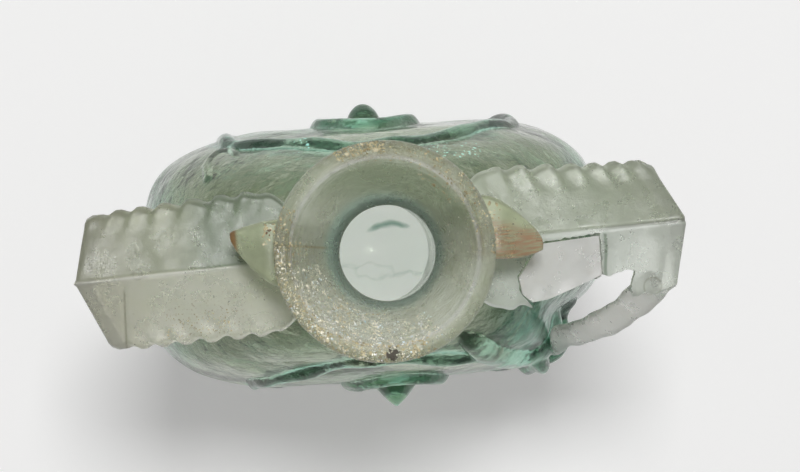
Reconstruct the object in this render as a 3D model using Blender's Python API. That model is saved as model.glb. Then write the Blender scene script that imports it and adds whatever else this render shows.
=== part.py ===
"""A two-handled flask of blown glass with a flattened body, as it was found.

The body, neck and folded mouth are one blown piece, with trails and knobs of glass melted onto its broad faces.
The two crimped strap handles were made apart and put on hot. The handle on the +X side is broken: one half of
its strap has a hole, a clear pane fills a part of the loss, and a thin strip is left of one half of its upright.

Metres, +Z up along the neck. The handles lie along X and the broad faces look along -Y and +Y. The origin is the
middle of the whole flask's extent, on the surface that it stands on.
"""

import math
from typing import NamedTuple

import bmesh
import bpy
from mathutils import Vector

# The body.
HEIGHT = 0.200
BODY_HALF_WIDTH = 0.063
BODY_HALF_DEPTH = 0.0352
WIDEST_LEVEL = 0.074
BODY_TOP_LEVEL = 0.144
BODY_WALL = 0.0022
BASE_THICKNESS = 0.0045
FOOT_HALF_WIDTH = 0.026
FOOT_HALF_DEPTH = 0.0165
FOOT_KICK = 0.0035
CONTACT_SHARE = 0.62  # the inner edge of the ring that the foot stands on, as a share of the foot
SQUARENESS = 3.7  # exponent of the body's outline from above; 2 is an ellipse
SHOULDER_FLATNESS = 0.8  # under 1, the broad faces stay flat for longer towards the shoulder
FLANK_POWER = 1.85
FACE_POWER = 2.2
BODY_TURN = math.radians(-2.4)  # the body sits a little askew to its handles

# The flattened corner of the body beside the broken handle.
DENT_DEPTH_SHARE = 0.15
DENT_ANGLE = math.radians(-22)
DENT_SPREAD = math.radians(9)
DENT_LEVEL = 0.088
DENT_RISE = 0.036

# The neck and the mouth.
NECK_RADIUS = 0.0137
NECK_FOOT_RADIUS = 0.0150
NECK_WALL = 0.0026
NECK_BLEND = 4.0  # a higher power makes a sharper corner where the neck meets the shoulder
NECK_SHIFT = (0.0010, -0.0004)
MOUTH_HEIGHT = 0.016
MOUTH_POWER = 1.6
RIM_RADIUS = 0.025
FOLD_RADIUS = 0.0016
FOLD_HEIGHT = 0.0056
FOLD_WIDTH = 0.0036
LEDGE_DROP = 0.0024

# Trails and knobs on the broad faces, centred at one point of each face.
TRAIL_CENTRE_X = {1: -0.0007, -1: 0.0035}
TRAIL_LEVEL = 0.084
OUTER_TRAIL_RADIUS = 0.039
INNER_TRAIL_RADIUS = 0.0125
OUTER_TRAIL_HEIGHT = 0.0018
INNER_TRAIL_HEIGHT = 0.0024
TRAIL_HALF_WIDTH = 0.0024
TRAIL_DEPTH = 0.0014  # how far a trail sinks into the wall
BROKEN_TRAIL_SPAN = (-163, 168)  # degrees of the -Y trail that are left
CREST_HEIGHT = 0.0026  # what the crest of the -Y trail adds near the broken handle
TRAIL_WAVE = 0.0009
ROUND_KNOB = (0.0048, 0.0056)  # radius and height
POINTED_KNOB = (0.0074, 0.0078)
FIN_START = (-40, 0.070)  # angle round the body in degrees, and level
FIN_END = (-19, 0.086)
FIN_HEIGHT = 0.0042
FIN_HALF_WIDTH = 0.0018

# The handles.
HANDLE_REACH = 0.072
HANDLE_DROP = 0.0235  # from the rim down to the ridge of the strap
HANDLE_HALF_WIDTH = 0.016
HANDLE_THICKNESS = 0.003
HANDLE_RIDGE = 0.0055  # how far the ridge stands out from the strap's edges
SHALLOW_RIDGE = 0.0032
LEFT_EDGE_DROPS = (HANDLE_RIDGE, SHALLOW_RIDGE)  # at the -Y edge and at the +Y edge
RIGHT_EDGE_DROPS = (SHALLOW_RIDGE, HANDLE_RIDGE)
LEFT_FAR_HALF_WIDTH = 0.0152  # the +Y half at the bend
RIGHT_FAR_HALF_WIDTH = 0.0140
ROOT_HALF_WIDTH = 0.009
CRIMP_PITCH = 0.0062
CRIMP_DEPTH = 0.0012
PAD_TOP_LEVEL = 0.103
PAD_END_LEVEL = 0.084
PAD_HALF_WIDTH = 0.013
PAD_RIDGE = 0.0022
TONGUE_DROP = 0.0105  # from the rim down to the tip of the tongue under it
TONGUE_THICKNESS = 0.0024
# Each tongue's reach, the -Y and +Y edges of its tip, and those of its root under the rim.
LEFT_TONGUE = (0.0342, (0.0056, 0.0080), (-0.0060, 0.0100))
RIGHT_TONGUE = (0.0361, (-0.0034, -0.0004), (-0.0042, 0.0108))
STRIP_HALF_WIDTH = 0.0037
STRIP_THICKNESS = 0.0025
STRIP_FOOT_LEVEL = 0.092
STRIP_FOOT_LENGTH = 0.012
STRIP_FOOT_SHARE = 0.715  # where the strip comes down, as a share of the body's half width
STRIP_BOW = 0.0022
STRIP_TURN = math.radians(-42.6)  # the way that the strip's width points, seen from above
STRIP_TOP_SHARES = (0.895, -0.84)  # where it leaves the strap, in shares of the reach and of the half width

# Where one piece is fitted to another.
JOINT_GAP = 0.0003

# How finely the round forms are divided.
AROUND = 48
LOWER_STEPS = 7
UPPER_STEPS = 9
INNER_LOWER_STEPS = 5
INNER_UPPER_STEPS = 6
NECK_STEPS = 3
FOLD_STEPS = 3
OUTER_TRAIL_STEPS = 30
INNER_TRAIL_STEPS = 14
SIDES_OF_TRAIL = 5
SIDES_OF_KNOB = 12
RINGS_OF_KNOB = 3
STRAP_STEPS = 20
UPRIGHT_STEPS = 14

OUTER_TRAIL = (OUTER_TRAIL_RADIUS, OUTER_TRAIL_HEIGHT, OUTER_TRAIL_STEPS)
INNER_TRAIL = (INNER_TRAIL_RADIUS, INNER_TRAIL_HEIGHT, INNER_TRAIL_STEPS)
RIDGE_LEVEL = HEIGHT - HANDLE_DROP
MOUTH_LEVEL = HEIGHT - MOUTH_HEIGHT
BORE_RADIUS = NECK_RADIUS - NECK_WALL
LEDGE_RADIUS = RIM_RADIUS - 2 * FOLD_RADIUS
FOLD_INNER_RADIUS = RIM_RADIUS - FOLD_WIDTH


def smoothstep(value):
    value = min(1.0, max(0.0, value))
    return value * value * (3 - 2 * value)


def mix(start, end, share):
    return start + (end - start) * share


def bump(value, middle, spread):
    """1 at the middle, falling away to 0 on both sides."""
    return math.exp(-(((value - middle) / spread) ** 2))


def clear_scene():
    for thing in list(bpy.data.objects):
        bpy.data.objects.remove(thing, do_unlink=True)


def make_material(name, colour, roughness, transmission):
    material = bpy.data.materials.new(name)
    material.use_nodes = True
    shader = material.node_tree.nodes["Principled BSDF"]
    shader.inputs["Base Color"].default_value = (*colour, 1.0)
    shader.inputs["Roughness"].default_value = roughness
    shader.inputs["Metallic"].default_value = 0.0
    shader.inputs["Transmission Weight"].default_value = transmission
    shader.inputs["IOR"].default_value = 1.5
    return material


def make_object(name, points, faces, material, frame):
    mesh = bpy.data.meshes.new(name)
    mesh.from_pydata([tuple(point) for point in points], [], faces)
    flat = bmesh.new()
    flat.from_mesh(mesh)
    bmesh.ops.triangulate(flat, faces=flat.faces)
    flat.to_mesh(mesh)
    flat.free()
    mesh.materials.append(material)
    mesh.shade_smooth()
    mesh.set_sharp_from_angle(angle=math.radians(38))
    thing = bpy.data.objects.new(name, mesh)
    thing.parent = frame
    bpy.context.scene.collection.objects.link(thing)
    return thing


def combine(target, cutter, operation):
    """Adds or cuts away a shape that stays behind as a hidden guide."""
    cutter.hide_render = True
    cutter.display_type = "WIRE"
    modifier = target.modifiers.new(f"{operation.lower()} {cutter.name}", "BOOLEAN")
    modifier.operation = operation
    modifier.object = cutter


# The body's surface.

def neck_radius(level, inset):
    height = smoothstep((level - BODY_TOP_LEVEL) / (MOUTH_LEVEL - BODY_TOP_LEVEL))
    return mix(NECK_FOOT_RADIUS, NECK_RADIUS, height) - inset * NECK_WALL / BODY_WALL


def half_size(level, widest, foot, power, flatness, inset):
    """Half the flask's size at one level, along one direction. The inset is 0 outside and the wall inside."""
    floor = BASE_THICKNESS if inset else 0.0
    if level <= WIDEST_LEVEL:
        fall = min(1.0, (WIDEST_LEVEL - level) / (WIDEST_LEVEL - floor))
        return mix(foot, widest, (1 - fall**power) ** (1 / power)) - inset
    rise = min(1.0, (level - WIDEST_LEVEL) / (BODY_TOP_LEVEL - inset - WIDEST_LEVEL))
    body = (widest - inset) * (1 - rise * rise) ** (flatness / 2)
    neck = neck_radius(level, inset)
    return (body**NECK_BLEND + neck**NECK_BLEND) ** (1 / NECK_BLEND)


def ring_shape(level, inset=0.0):
    """The half width, half depth and squareness of the flask at one level."""
    width = half_size(level, BODY_HALF_WIDTH, FOOT_HALF_WIDTH, FLANK_POWER, 1.0, inset)
    depth = half_size(level, BODY_HALF_DEPTH, FOOT_HALF_DEPTH, FACE_POWER, SHOULDER_FLATNESS, inset)
    fullness = min(1.0, max(0.0, (width - NECK_FOOT_RADIUS) / (BODY_HALF_WIDTH - NECK_FOOT_RADIUS)))
    return width, depth, mix(2.0, SQUARENESS, fullness**0.7)


def reach(angle, level, inset=0.0):
    """How far the body's surface lies from its axis, in the body's own turned frame."""
    width, depth, power = ring_shape(level, inset)
    across = (abs(math.cos(angle)) / width) ** power + (abs(math.sin(angle)) / depth) ** power
    turn = math.remainder(angle - DENT_ANGLE, 2 * math.pi)
    dent = DENT_DEPTH_SHARE * bump(turn, 0, DENT_SPREAD) * bump(level, DENT_LEVEL, DENT_RISE)
    return across ** (-1 / power) * (1 - dent)


def surface_point(angle, level, inset=0.0):
    distance = reach(angle, level, inset)
    turned = angle + BODY_TURN
    return Vector((distance * math.cos(turned), distance * math.sin(turned), level))


def face_point(x, level, face):
    """The point of a broad face at one distance from the body's middle. The face is 1 at +Y and -1 at -Y."""
    low = 0.0
    high = math.pi
    for _ in range(40):
        middle = (low + high) / 2
        if reach(face * middle, level) * math.cos(middle) > x:
            low = middle
        else:
            high = middle
    return surface_point(face * low, level)


def face_normal(x, level, face):
    step = 0.0004
    along_x = face_point(x + step, level, face) - face_point(x - step, level, face)
    along_z = face_point(x, level + step, face) - face_point(x, level - step, face)
    normal = along_x.cross(along_z).normalized()
    return normal * (1 if normal.y * face > 0 else -1)


def flank(y, level, side):
    """How far out the body's narrow side lies at one y. The side is 1 at +X and -1 at -X."""
    base = 0.0 if side > 0 else math.pi
    low = 0.0
    high = math.pi / 2
    turn_sign = side if y >= 0 else -side
    for _ in range(40):
        middle = (low + high) / 2
        point = surface_point(base + turn_sign * middle - BODY_TURN, level)
        if abs(point.y) < abs(y):
            low = middle
        else:
            high = middle
    return side * surface_point(base + turn_sign * low - BODY_TURN, level).x


def even_angles(level, inset):
    """Angles that divide the outline at one level into equal lengths."""
    fine = 720
    points = [surface_point(2 * math.pi * k / fine, level, inset) for k in range(fine + 1)]
    lengths = [0.0]
    for k in range(fine):
        lengths.append(lengths[-1] + (points[k + 1] - points[k]).length)
    angles = []
    k = 0
    for part in range(AROUND):
        wanted = lengths[-1] * part / AROUND
        while lengths[k + 1] < wanted:
            k += 1
        share = (wanted - lengths[k]) / (lengths[k + 1] - lengths[k])
        angles.append(2 * math.pi * (k + share) / fine)
    return angles


# The vessel: one closed skin that runs up the outside, over the rim and down the inside.

def neck_lean(level):
    share = smoothstep((level - BODY_TOP_LEVEL) / (MOUTH_LEVEL - BODY_TOP_LEVEL))
    return Vector((NECK_SHIFT[0] * share, NECK_SHIFT[1] * share, 0))


def body_ring(level, inset=0.0):
    return [surface_point(angle, level, inset) + neck_lean(level) for angle in even_angles(level, inset)]


def round_ring(radius, level, lean):
    points = []
    for part in range(AROUND):
        turned = 2 * math.pi * part / AROUND + BODY_TURN
        points.append(Vector((radius * math.cos(turned), radius * math.sin(turned), level)) + lean)
    return points


def mouth_radius(share, low, high):
    return mix(low, high, share**MOUTH_POWER)


def mouth_underside(radius):
    """The level of the mouth's outer side at one radius."""
    fold_level = HEIGHT - FOLD_HEIGHT
    if radius >= FOLD_INNER_RADIUS:
        return fold_level
    share = max(0.0, (radius - NECK_RADIUS) / (FOLD_INNER_RADIUS - NECK_RADIUS)) ** (1 / MOUTH_POWER)
    return mix(MOUTH_LEVEL, fold_level, share)


def outer_rings():
    rings = []
    for step in range(LOWER_STEPS + 1):
        rings.append(body_ring(WIDEST_LEVEL * (1 - math.cos(math.pi / 2 * step / LOWER_STEPS))))
    top_angle = math.radians(82)
    rise = BODY_TOP_LEVEL - WIDEST_LEVEL
    for step in range(1, UPPER_STEPS + 1):
        rings.append(body_ring(WIDEST_LEVEL + rise * math.sin(top_angle * step / UPPER_STEPS)))
    for step in range(1, NECK_STEPS + 1):
        rings.append(body_ring(mix(BODY_TOP_LEVEL, MOUTH_LEVEL, step / NECK_STEPS)))
    return rings


def mouth_rings():
    """The flaring mouth, the rounded fold of its rim and the ledge inside it."""
    lean = neck_lean(MOUTH_LEVEL)
    fold_level = HEIGHT - FOLD_HEIGHT
    outline = []
    for share in (0.35, 0.7, 1.0):
        radius = mouth_radius(share, NECK_RADIUS, FOLD_INNER_RADIUS)
        outline.append((radius, mix(MOUTH_LEVEL, fold_level, share), 1 - share))
    corner_radius = RIM_RADIUS - FOLD_RADIUS
    for step in range(FOLD_STEPS + 1):
        angle = math.pi / 2 * (step / FOLD_STEPS - 1)
        level = fold_level + FOLD_RADIUS * (1 + math.sin(angle))
        outline.append((corner_radius + FOLD_RADIUS * math.cos(angle), level, 0))
    for step in range(FOLD_STEPS + 2):
        angle = math.pi * step / (FOLD_STEPS + 1)
        level = HEIGHT - FOLD_RADIUS * (1 - math.sin(angle))
        outline.append((corner_radius + FOLD_RADIUS * math.cos(angle), level, 0))
    outline.append((LEDGE_RADIUS, HEIGHT - LEDGE_DROP, 0))
    for share in (0.75, 0.5, 0.25, 0.0):
        radius = mouth_radius(share, BORE_RADIUS, LEDGE_RADIUS - FOLD_RADIUS / 2)
        outline.append((radius, mix(MOUTH_LEVEL - NECK_WALL, HEIGHT - LEDGE_DROP, share), 1 - share))
    return [round_ring(radius, level, lean * share) for radius, level, share in outline]


def inner_rings():
    rings = []
    bore_top = MOUTH_LEVEL - NECK_WALL
    for share in (0.4, 0.8):
        rings.append(body_ring(mix(bore_top, BODY_TOP_LEVEL, share), BODY_WALL))
    top_angle = math.radians(80)
    rise = BODY_TOP_LEVEL - BODY_WALL - WIDEST_LEVEL
    for step in range(INNER_UPPER_STEPS, 0, -1):
        rings.append(body_ring(WIDEST_LEVEL + rise * math.sin(top_angle * step / INNER_UPPER_STEPS), BODY_WALL))
    for step in range(INNER_LOWER_STEPS, -1, -1):
        drop = math.cos(math.pi / 2 * step / INNER_LOWER_STEPS)
        level = WIDEST_LEVEL - (WIDEST_LEVEL - BASE_THICKNESS) * drop
        rings.append(body_ring(level, BODY_WALL))
    return rings


def base_ring(share):
    """A ring of the underside, which is pushed up inside the ring that the flask stands on."""
    level = FOOT_KICK * smoothstep(1 - share / CONTACT_SHARE)
    return [Vector((point.x * share, point.y * share, level)) for point in body_ring(0.0)]


def make_vessel(material, frame):
    rings = [base_ring(CONTACT_SHARE * share) for share in (0.25, 0.6, 1.0)]
    rings += outer_rings()
    rings += mouth_rings()
    rings += inner_rings()
    floor_ring = [Vector((point.x * 0.5, point.y * 0.5, BASE_THICKNESS + FOOT_KICK * 0.6)) for point in rings[-1]]
    rings.append(floor_ring)
    points = [point for ring in rings for point in ring]
    faces = []
    for row in range(len(rings) - 1):
        for part in range(AROUND):
            after = (part + 1) % AROUND
            low = row * AROUND
            high = low + AROUND
            faces.append((low + part, low + after, high + after, high + part))
    outer_middle = len(points)
    points.append(Vector((0, 0, FOOT_KICK)))
    inner_middle = len(points)
    points.append(Vector((0, 0, BASE_THICKNESS + FOOT_KICK)))
    last = (len(rings) - 1) * AROUND
    for part in range(AROUND):
        after = (part + 1) % AROUND
        faces.append((outer_middle, after, part))
        faces.append((inner_middle, last + part, last + after))
    return make_object("vessel", points, faces, material, frame)


# Trails, knobs and the fin that are melted onto the body.

def make_tube(name, path, normals, half_widths, heights, closed, material, frame):
    """A flattened thread along a path on the body, half sunk into its wall."""
    count = len(path)
    points = []
    for index in range(count):
        if closed:
            tangent = path[(index + 1) % count] - path[index - 1]
        else:
            tangent = path[min(index + 1, count - 1)] - path[max(index - 1, 0)]
        side = normals[index].cross(tangent.normalized())
        for corner in range(SIDES_OF_TRAIL):
            angle = math.pi / 2 + 2 * math.pi * corner / SIDES_OF_TRAIL
            lift = math.sin(angle)
            rise = lift * (heights[index] if lift > 0 else TRAIL_DEPTH)
            points.append(path[index] + side * half_widths[index] * math.cos(angle) + normals[index] * rise)
    faces = []
    spans = count if closed else count - 1
    for index in range(spans):
        here = index * SIDES_OF_TRAIL
        there = (index + 1) % count * SIDES_OF_TRAIL
        for corner in range(SIDES_OF_TRAIL):
            after = (corner + 1) % SIDES_OF_TRAIL
            faces.append((here + corner, here + after, there + after, there + corner))
    if not closed:
        faces.append(tuple(reversed(range(SIDES_OF_TRAIL))))
        faces.append(tuple((count - 1) * SIDES_OF_TRAIL + corner for corner in range(SIDES_OF_TRAIL)))
    return make_object(name, points, faces, material, frame)


def trail_on_face(name, face, trail, start, end, material, frame):
    """A wavy ring of thread, or an arc of one, about the middle of a broad face."""
    radius, height, steps = trail
    closed = end - start > 359.9
    count = steps if closed else steps + 1
    path = []
    normals = []
    half_widths = []
    heights = []
    for step in range(count):
        angle = math.radians(mix(start, end, step / steps))
        wave = TRAIL_WAVE * radius / OUTER_TRAIL_RADIUS * (math.sin(5 * angle + face) + 0.6 * math.sin(8 * angle))
        x = TRAIL_CENTRE_X[face] + (radius + wave) * math.cos(angle)
        level = TRAIL_LEVEL + (radius + wave) * math.sin(angle)
        crest = bump(math.remainder(angle, 2 * math.pi), 0.1, 0.5) if face < 0 and radius > INNER_TRAIL_RADIUS else 0
        path.append(face_point(x, level, face))
        normals.append(face_normal(x, level, face))
        half_widths.append(TRAIL_HALF_WIDTH)
        heights.append(height + CREST_HEIGHT * crest * (0.8 + 0.2 * math.sin(9 * angle)))
    return make_tube(name, path, normals, half_widths, heights, closed, material, frame)


def make_knob(name, face, size, pointed, material, frame):
    """A drop of glass in the middle of a broad face, round or drawn out to a point."""
    radius, height = size
    sides = SIDES_OF_KNOB
    base = face_point(TRAIL_CENTRE_X[face], TRAIL_LEVEL, face)
    axis = Vector((0, face, 0))
    rings = RINGS_OF_KNOB
    points = []
    for ring in range(rings + 1):
        share = ring / (rings + 1)
        around = radius * ((1 - share) ** 0.8 if pointed else math.sqrt(1 - share * share))
        centre = base + axis * (-TRAIL_DEPTH if ring == 0 else height * share)
        for side in range(sides):
            angle = face * 2 * math.pi * side / sides
            points.append(centre + Vector((around * math.cos(angle), 0, around * math.sin(angle))))
    points.append(base + axis * height)
    tip = len(points) - 1
    faces = [tuple(range(sides))]
    for ring in range(rings):
        for side in range(sides):
            after = (side + 1) % sides
            low = ring * sides
            faces.append((low + after, low + side, low + sides + side, low + sides + after))
    for side in range(sides):
        faces.append((rings * sides + (side + 1) % sides, rings * sides + side, tip))
    return make_object(name, points, faces, material, frame)


def make_fin(material, frame):
    """The standing fold of glass across the dented corner of the body."""
    steps = 8
    path = []
    normals = []
    half_widths = []
    heights = []
    for step in range(steps + 1):
        share = step / steps
        angle = math.radians(mix(FIN_START[0], FIN_END[0], share))
        level = mix(FIN_START[1], FIN_END[1], share)
        here = surface_point(angle, level)
        outward = (surface_point(angle + 0.02, level) - surface_point(angle - 0.02, level)).normalized()
        normals.append(Vector((outward.y, -outward.x, 0)).normalized())
        path.append(here)
        swell = math.sin(math.pi * (0.12 + 0.76 * share))
        half_widths.append(FIN_HALF_WIDTH * (0.5 + 0.5 * swell))
        heights.append(FIN_HEIGHT * swell)
    return make_tube("fin_guide", path, normals, half_widths, heights, False, material, frame)


def decorate(vessel, material, frame):
    guides = [
        trail_on_face("back_outer_trail", 1, OUTER_TRAIL, 0, 360, material, frame),
        trail_on_face("back_inner_trail", 1, INNER_TRAIL, 0, 360, material, frame),
        trail_on_face("front_outer_trail", -1, OUTER_TRAIL, *BROKEN_TRAIL_SPAN, material, frame),
        trail_on_face("front_inner_trail", -1, INNER_TRAIL, 0, 360, material, frame),
        make_knob("round_knob", 1, ROUND_KNOB, False, material, frame),
        make_knob("pointed_knob", -1, POINTED_KNOB, True, material, frame),
        make_fin(material, frame),
    ]
    for guide in guides:
        combine(vessel, guide, "UNION")


# The handles: a ribbon with a ridge, folded under the mouth, run out flat, bent sharply and brought down to the body.

# Columns across the ribbon, from the -Y edge to the +Y edge, as shares of its half width.
COLUMNS = (-1.0, -0.72, 0.0, 0.72, 1.0)


def crimp(distance):
    """The scalloped edge: 0 in the dents and 1 on the lobes, unevenly spaced as if pinched by hand."""
    phase = distance / CRIMP_PITCH + 0.18 * math.sin(distance / CRIMP_PITCH * 0.9 + 1)
    return abs(math.sin(math.pi * phase)) ** 0.8


class Corner(NamedTuple):
    """One corner of the ribbon's path in the XZ plane, and what holds from there to the next one."""
    x: float
    level: float
    thickness: float
    y_low: float
    y_high: float
    drop_low: float = 0.0  # how far the -Y edge lies back from the ridge
    drop_high: float = 0.0
    steps: int = 1
    crimped: bool = False

    @property
    def spot(self):
        return Vector((self.x, self.level))


def handle_corners(tongue_reach, tip_ys, root_ys, edge_drops, far_high):
    """The path starts at the tip of the tongue, so the ribbon's ridged face looks down there, away from the neck
    at the fold, up along the strap and outward along the upright."""
    half = HANDLE_THICKNESS / 2
    strap_level = RIDGE_LEVEL - half
    neck = NECK_RADIUS + JOINT_GAP
    fold_x = neck + half
    under_rim = HEIGHT - FOLD_HEIGHT - 2 * JOINT_GAP - TONGUE_THICKNESS / 2
    root_x = mix(neck, FOLD_INNER_RADIUS, 0.75)
    root_level = mouth_underside(mix(neck, FOLD_INNER_RADIUS, 0.55)) - half
    pad_top = flank(0, PAD_TOP_LEVEL, 1) + JOINT_GAP + half
    pad_end = flank(0, PAD_END_LEVEL, 1) + JOINT_GAP + half
    w = HANDLE_HALF_WIDTH
    r = ROOT_HALF_WIDTH
    low, high = edge_drops
    return [
        Corner(tongue_reach, HEIGHT - TONGUE_DROP, TONGUE_THICKNESS * 0.7, *tip_ys, steps=3),
        Corner(RIM_RADIUS, under_rim, TONGUE_THICKNESS, *root_ys, steps=2),
        Corner(root_x, root_level, TONGUE_THICKNESS, root_ys[0] * 0.95, root_ys[1] * 0.95, steps=2),
        Corner(fold_x + half / 2, MOUTH_LEVEL - half, HANDLE_THICKNESS, -r, r),
        Corner(fold_x, mix(MOUTH_LEVEL, strap_level, 0.6), HANDLE_THICKNESS, -r, r),
        Corner(fold_x + half, strap_level, HANDLE_THICKNESS, -r, r, low / 6, high / 6, steps=2),
        Corner(fold_x + half * 6, strap_level, HANDLE_THICKNESS, -w, w * 1.04, low / 2, high / 2, STRAP_STEPS, True),
        Corner(HANDLE_REACH - half, strap_level, HANDLE_THICKNESS, -w, far_high, low, high, UPRIGHT_STEPS, True),
        Corner(pad_top, PAD_TOP_LEVEL, HANDLE_THICKNESS, -PAD_HALF_WIDTH, PAD_HALF_WIDTH, PAD_RIDGE, PAD_RIDGE, 4),
        Corner(pad_end, PAD_END_LEVEL, HANDLE_THICKNESS * 0.55, -PAD_HALF_WIDTH * 0.6, PAD_HALF_WIDTH * 0.6,
               PAD_RIDGE * 0.8, PAD_RIDGE * 0.8),
    ]


def mitres(corners):
    """For each corner of the path, its mitred outward direction in the XZ plane."""
    result = []
    for index, corner in enumerate(corners):
        directions = []
        if index > 0:
            directions.append((corner.spot - corners[index - 1].spot).normalized())
        if index < len(corners) - 1:
            directions.append((corners[index + 1].spot - corner.spot).normalized())
        normals = [Vector((-direction.y, direction.x)) for direction in directions]
        outward = (normals[0] + normals[-1]).normalized()
        result.append(outward / max(0.5, outward.dot(normals[0])))
    return result


def across_corner(corner, outward, column):
    """Where one column of the ribbon lies on its ridged face and on its other face, at a corner of the path."""
    drop = (corner.drop_low if column < 0 else corner.drop_high) * abs(column)
    middle = corner.spot - outward * drop
    return middle + outward * corner.thickness / 2, middle - outward * corner.thickness / 2


def across_y(corner, column):
    middle = (corner.y_low + corner.y_high) / 2 if corner.drop_low == 0 else 0.0
    return middle + abs(column) * ((corner.y_low if column < 0 else corner.y_high) - middle)


def ribbon_rows(corners, side):
    """Rows of points across the ridged face and across the other face, for each step along the path."""
    outwards = mitres(corners)
    lean = neck_lean(MOUTH_LEVEL)
    top_rows = []
    under_rows = []
    travelled = 0.0
    for index in range(len(corners) - 1):
        here, there = corners[index], corners[index + 1]
        length = (there.spot - here.spot).length
        last = index == len(corners) - 2
        for step in range(here.steps + (1 if last else 0)):
            share = step / here.steps
            fade = smoothstep(share * here.steps / 2) * smoothstep((1 - share) * here.steps / 2) * here.crimped
            lobe = crimp(travelled + length * share)
            top = []
            under = []
            for column in COLUMNS:
                ridged_here, plain_here = across_corner(here, outwards[index], column)
                ridged_there, plain_there = across_corner(there, outwards[index + 1], column)
                ridged = ridged_here.lerp(ridged_there, share)
                plain = plain_here.lerp(plain_there, share)
                y = mix(across_y(here, column), across_y(there, column), share)
                if abs(column) == 1.0:
                    y += math.copysign(CRIMP_DEPTH * (2 * lobe - 1) * fade, column)
                    ridged = ridged + outwards[index + 1] * CRIMP_DEPTH * 0.6 * lobe * fade
                top.append(fitted(ridged, y, side, here.thickness, lean))
                under.append(fitted(plain, y, side, 0.0, lean))
            top_rows.append(top)
            under_rows.append(under)
        travelled += length
    return top_rows, under_rows


def fitted(spot, y, side, cover, lean):
    """Keeps a point of a handle the joint gap, and the glass in between, off the neck, the mouth and the body."""
    x, level = spot
    neck_x = side * lean.x
    neck_y = y - lean.y
    if level < MOUTH_LEVEL:
        radius = neck_radius(level, 0.0) + 2 * JOINT_GAP + cover
        if abs(neck_y) < radius and level > BODY_TOP_LEVEL:
            x = max(x, neck_x + math.sqrt(radius * radius - neck_y * neck_y))
    else:
        distance = math.hypot(x - neck_x, neck_y)
        level = min(level, mouth_underside(distance) - 2 * JOINT_GAP - cover)
        radius = neck_radius(level, 0.0) + 2 * JOINT_GAP + cover
        if abs(neck_y) < radius:
            x = max(x, neck_x + math.sqrt(radius * radius - neck_y * neck_y))
    if level < BODY_TOP_LEVEL:
        x = max(x, flank(y, level, side) + 1.3 * JOINT_GAP + cover)
    return Vector((side * x, y, level))


def make_ribbon(name, corners, side, material, frame):
    top_rows, under_rows = ribbon_rows(corners, side)
    width = len(COLUMNS)
    rows = len(top_rows)
    points = [point for row in top_rows for point in row] + [point for row in under_rows for point in row]
    below = rows * width
    faces = []
    for row in range(rows - 1):
        for column in range(width - 1):
            a = row * width + column
            faces.append((a, a + width, a + width + 1, a + 1))
            faces.append((below + a, below + a + 1, below + a + width + 1, below + a + width))
        for edge in (0, width - 1):
            a = row * width + edge
            wall = (a, below + a, below + a + width, a + width)
            faces.append(wall if edge == 0 else tuple(reversed(wall)))
    for row in (0, rows - 1):
        for column in range(width - 1):
            a = row * width + column
            cap = (a, a + 1, below + a + 1, below + a)
            faces.append(cap if row == 0 else tuple(reversed(cap)))
    if side < 0:
        faces = [tuple(reversed(face)) for face in faces]
    return make_object(name, points, faces, material, frame)


# The break in the right handle. Each outline is in shares: along X of the handle's reach, along Y of its half width.

# The edge of the sound glass towards the neck, from the ridge out to the crimped edge.
NEAR_BREAK_SHARES = ((0.521, -0.11), (0.481, -0.275), (0.429, -0.57), (0.436, -0.82), (0.47, -1.02))
# The edge of the sound glass towards the bend, from the crimped edge in to the ridge.
FAR_BREAK_SHARES = ((0.800, -0.90), (0.817, -0.67), (0.782, -0.64), (0.733, -0.71), (0.711, -0.675), (0.711, -0.06))
FILL_EDGE_SHARES = ((0.711, -0.675), (0.62, -0.82), (0.53, -0.95), (0.475, -0.97))
# The loss in the upright, in shares of the height from its pad to the strap, and of its half width.
UPRIGHT_BREAK_SHARES = ((0.86, -1.5), (0.87, -0.80), (0.84, -0.42), (0.77, -0.14), (0.55, -0.10), (0.30, -0.17),
                 (0.14, -0.28), (0.05, -0.60), (0.03, -1.5))


def prism(name, outline, low, high, plane, material, frame):
    """A straight-sided block on an outline. The plane is the axis that the block runs along, X or Z."""
    area = sum(a[0] * b[1] - b[0] * a[1] for a, b in zip(outline, outline[1:] + outline[:1]))
    if area < 0:
        outline = list(reversed(outline))
    count = len(outline)
    points = []
    for depth in (low, high):
        for u, v in outline:
            points.append(Vector((u, v, depth)) if plane == "Z" else Vector((depth, u, v)))
    faces = [tuple(reversed(range(count))), tuple(range(count, 2 * count))]
    for corner in range(count):
        after = (corner + 1) % count
        faces.append((corner, after, count + after, count + corner))
    return make_object(name, points, faces, material, frame)


def strap_plan(shares, shift=(0.0, 0.0)):
    return [(HANDLE_REACH * u + shift[0], HANDLE_HALF_WIDTH * v + shift[1]) for u, v in shares]


def strip_path():
    """The middle of the strip, from inside the strap's corner down to where its inner edge stands on the body."""
    across = Vector((math.cos(STRIP_TURN), math.sin(STRIP_TURN), 0))
    stand_off = across * (STRIP_HALF_WIDTH + 2 * JOINT_GAP)
    feet = []
    for level in (STRIP_FOOT_LEVEL + STRIP_FOOT_LENGTH, STRIP_FOOT_LEVEL + STRIP_FOOT_LENGTH / 2, STRIP_FOOT_LEVEL):
        feet.append(face_point(BODY_HALF_WIDTH * STRIP_FOOT_SHARE, level, -1) + stand_off)
    top_x, top_y = strap_plan([STRIP_TOP_SHARES])[0]
    top = Vector((top_x, top_y, RIDGE_LEVEL - HANDLE_THICKNESS * 1.4))
    path = []
    for step in range(9):
        share = step / 9
        bow = STRIP_BOW * math.sin(math.pi * share)
        path.append(top.lerp(feet[0], share) + Vector((bow * 0.5, -bow, 0)))
    return path + feet, across


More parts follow.
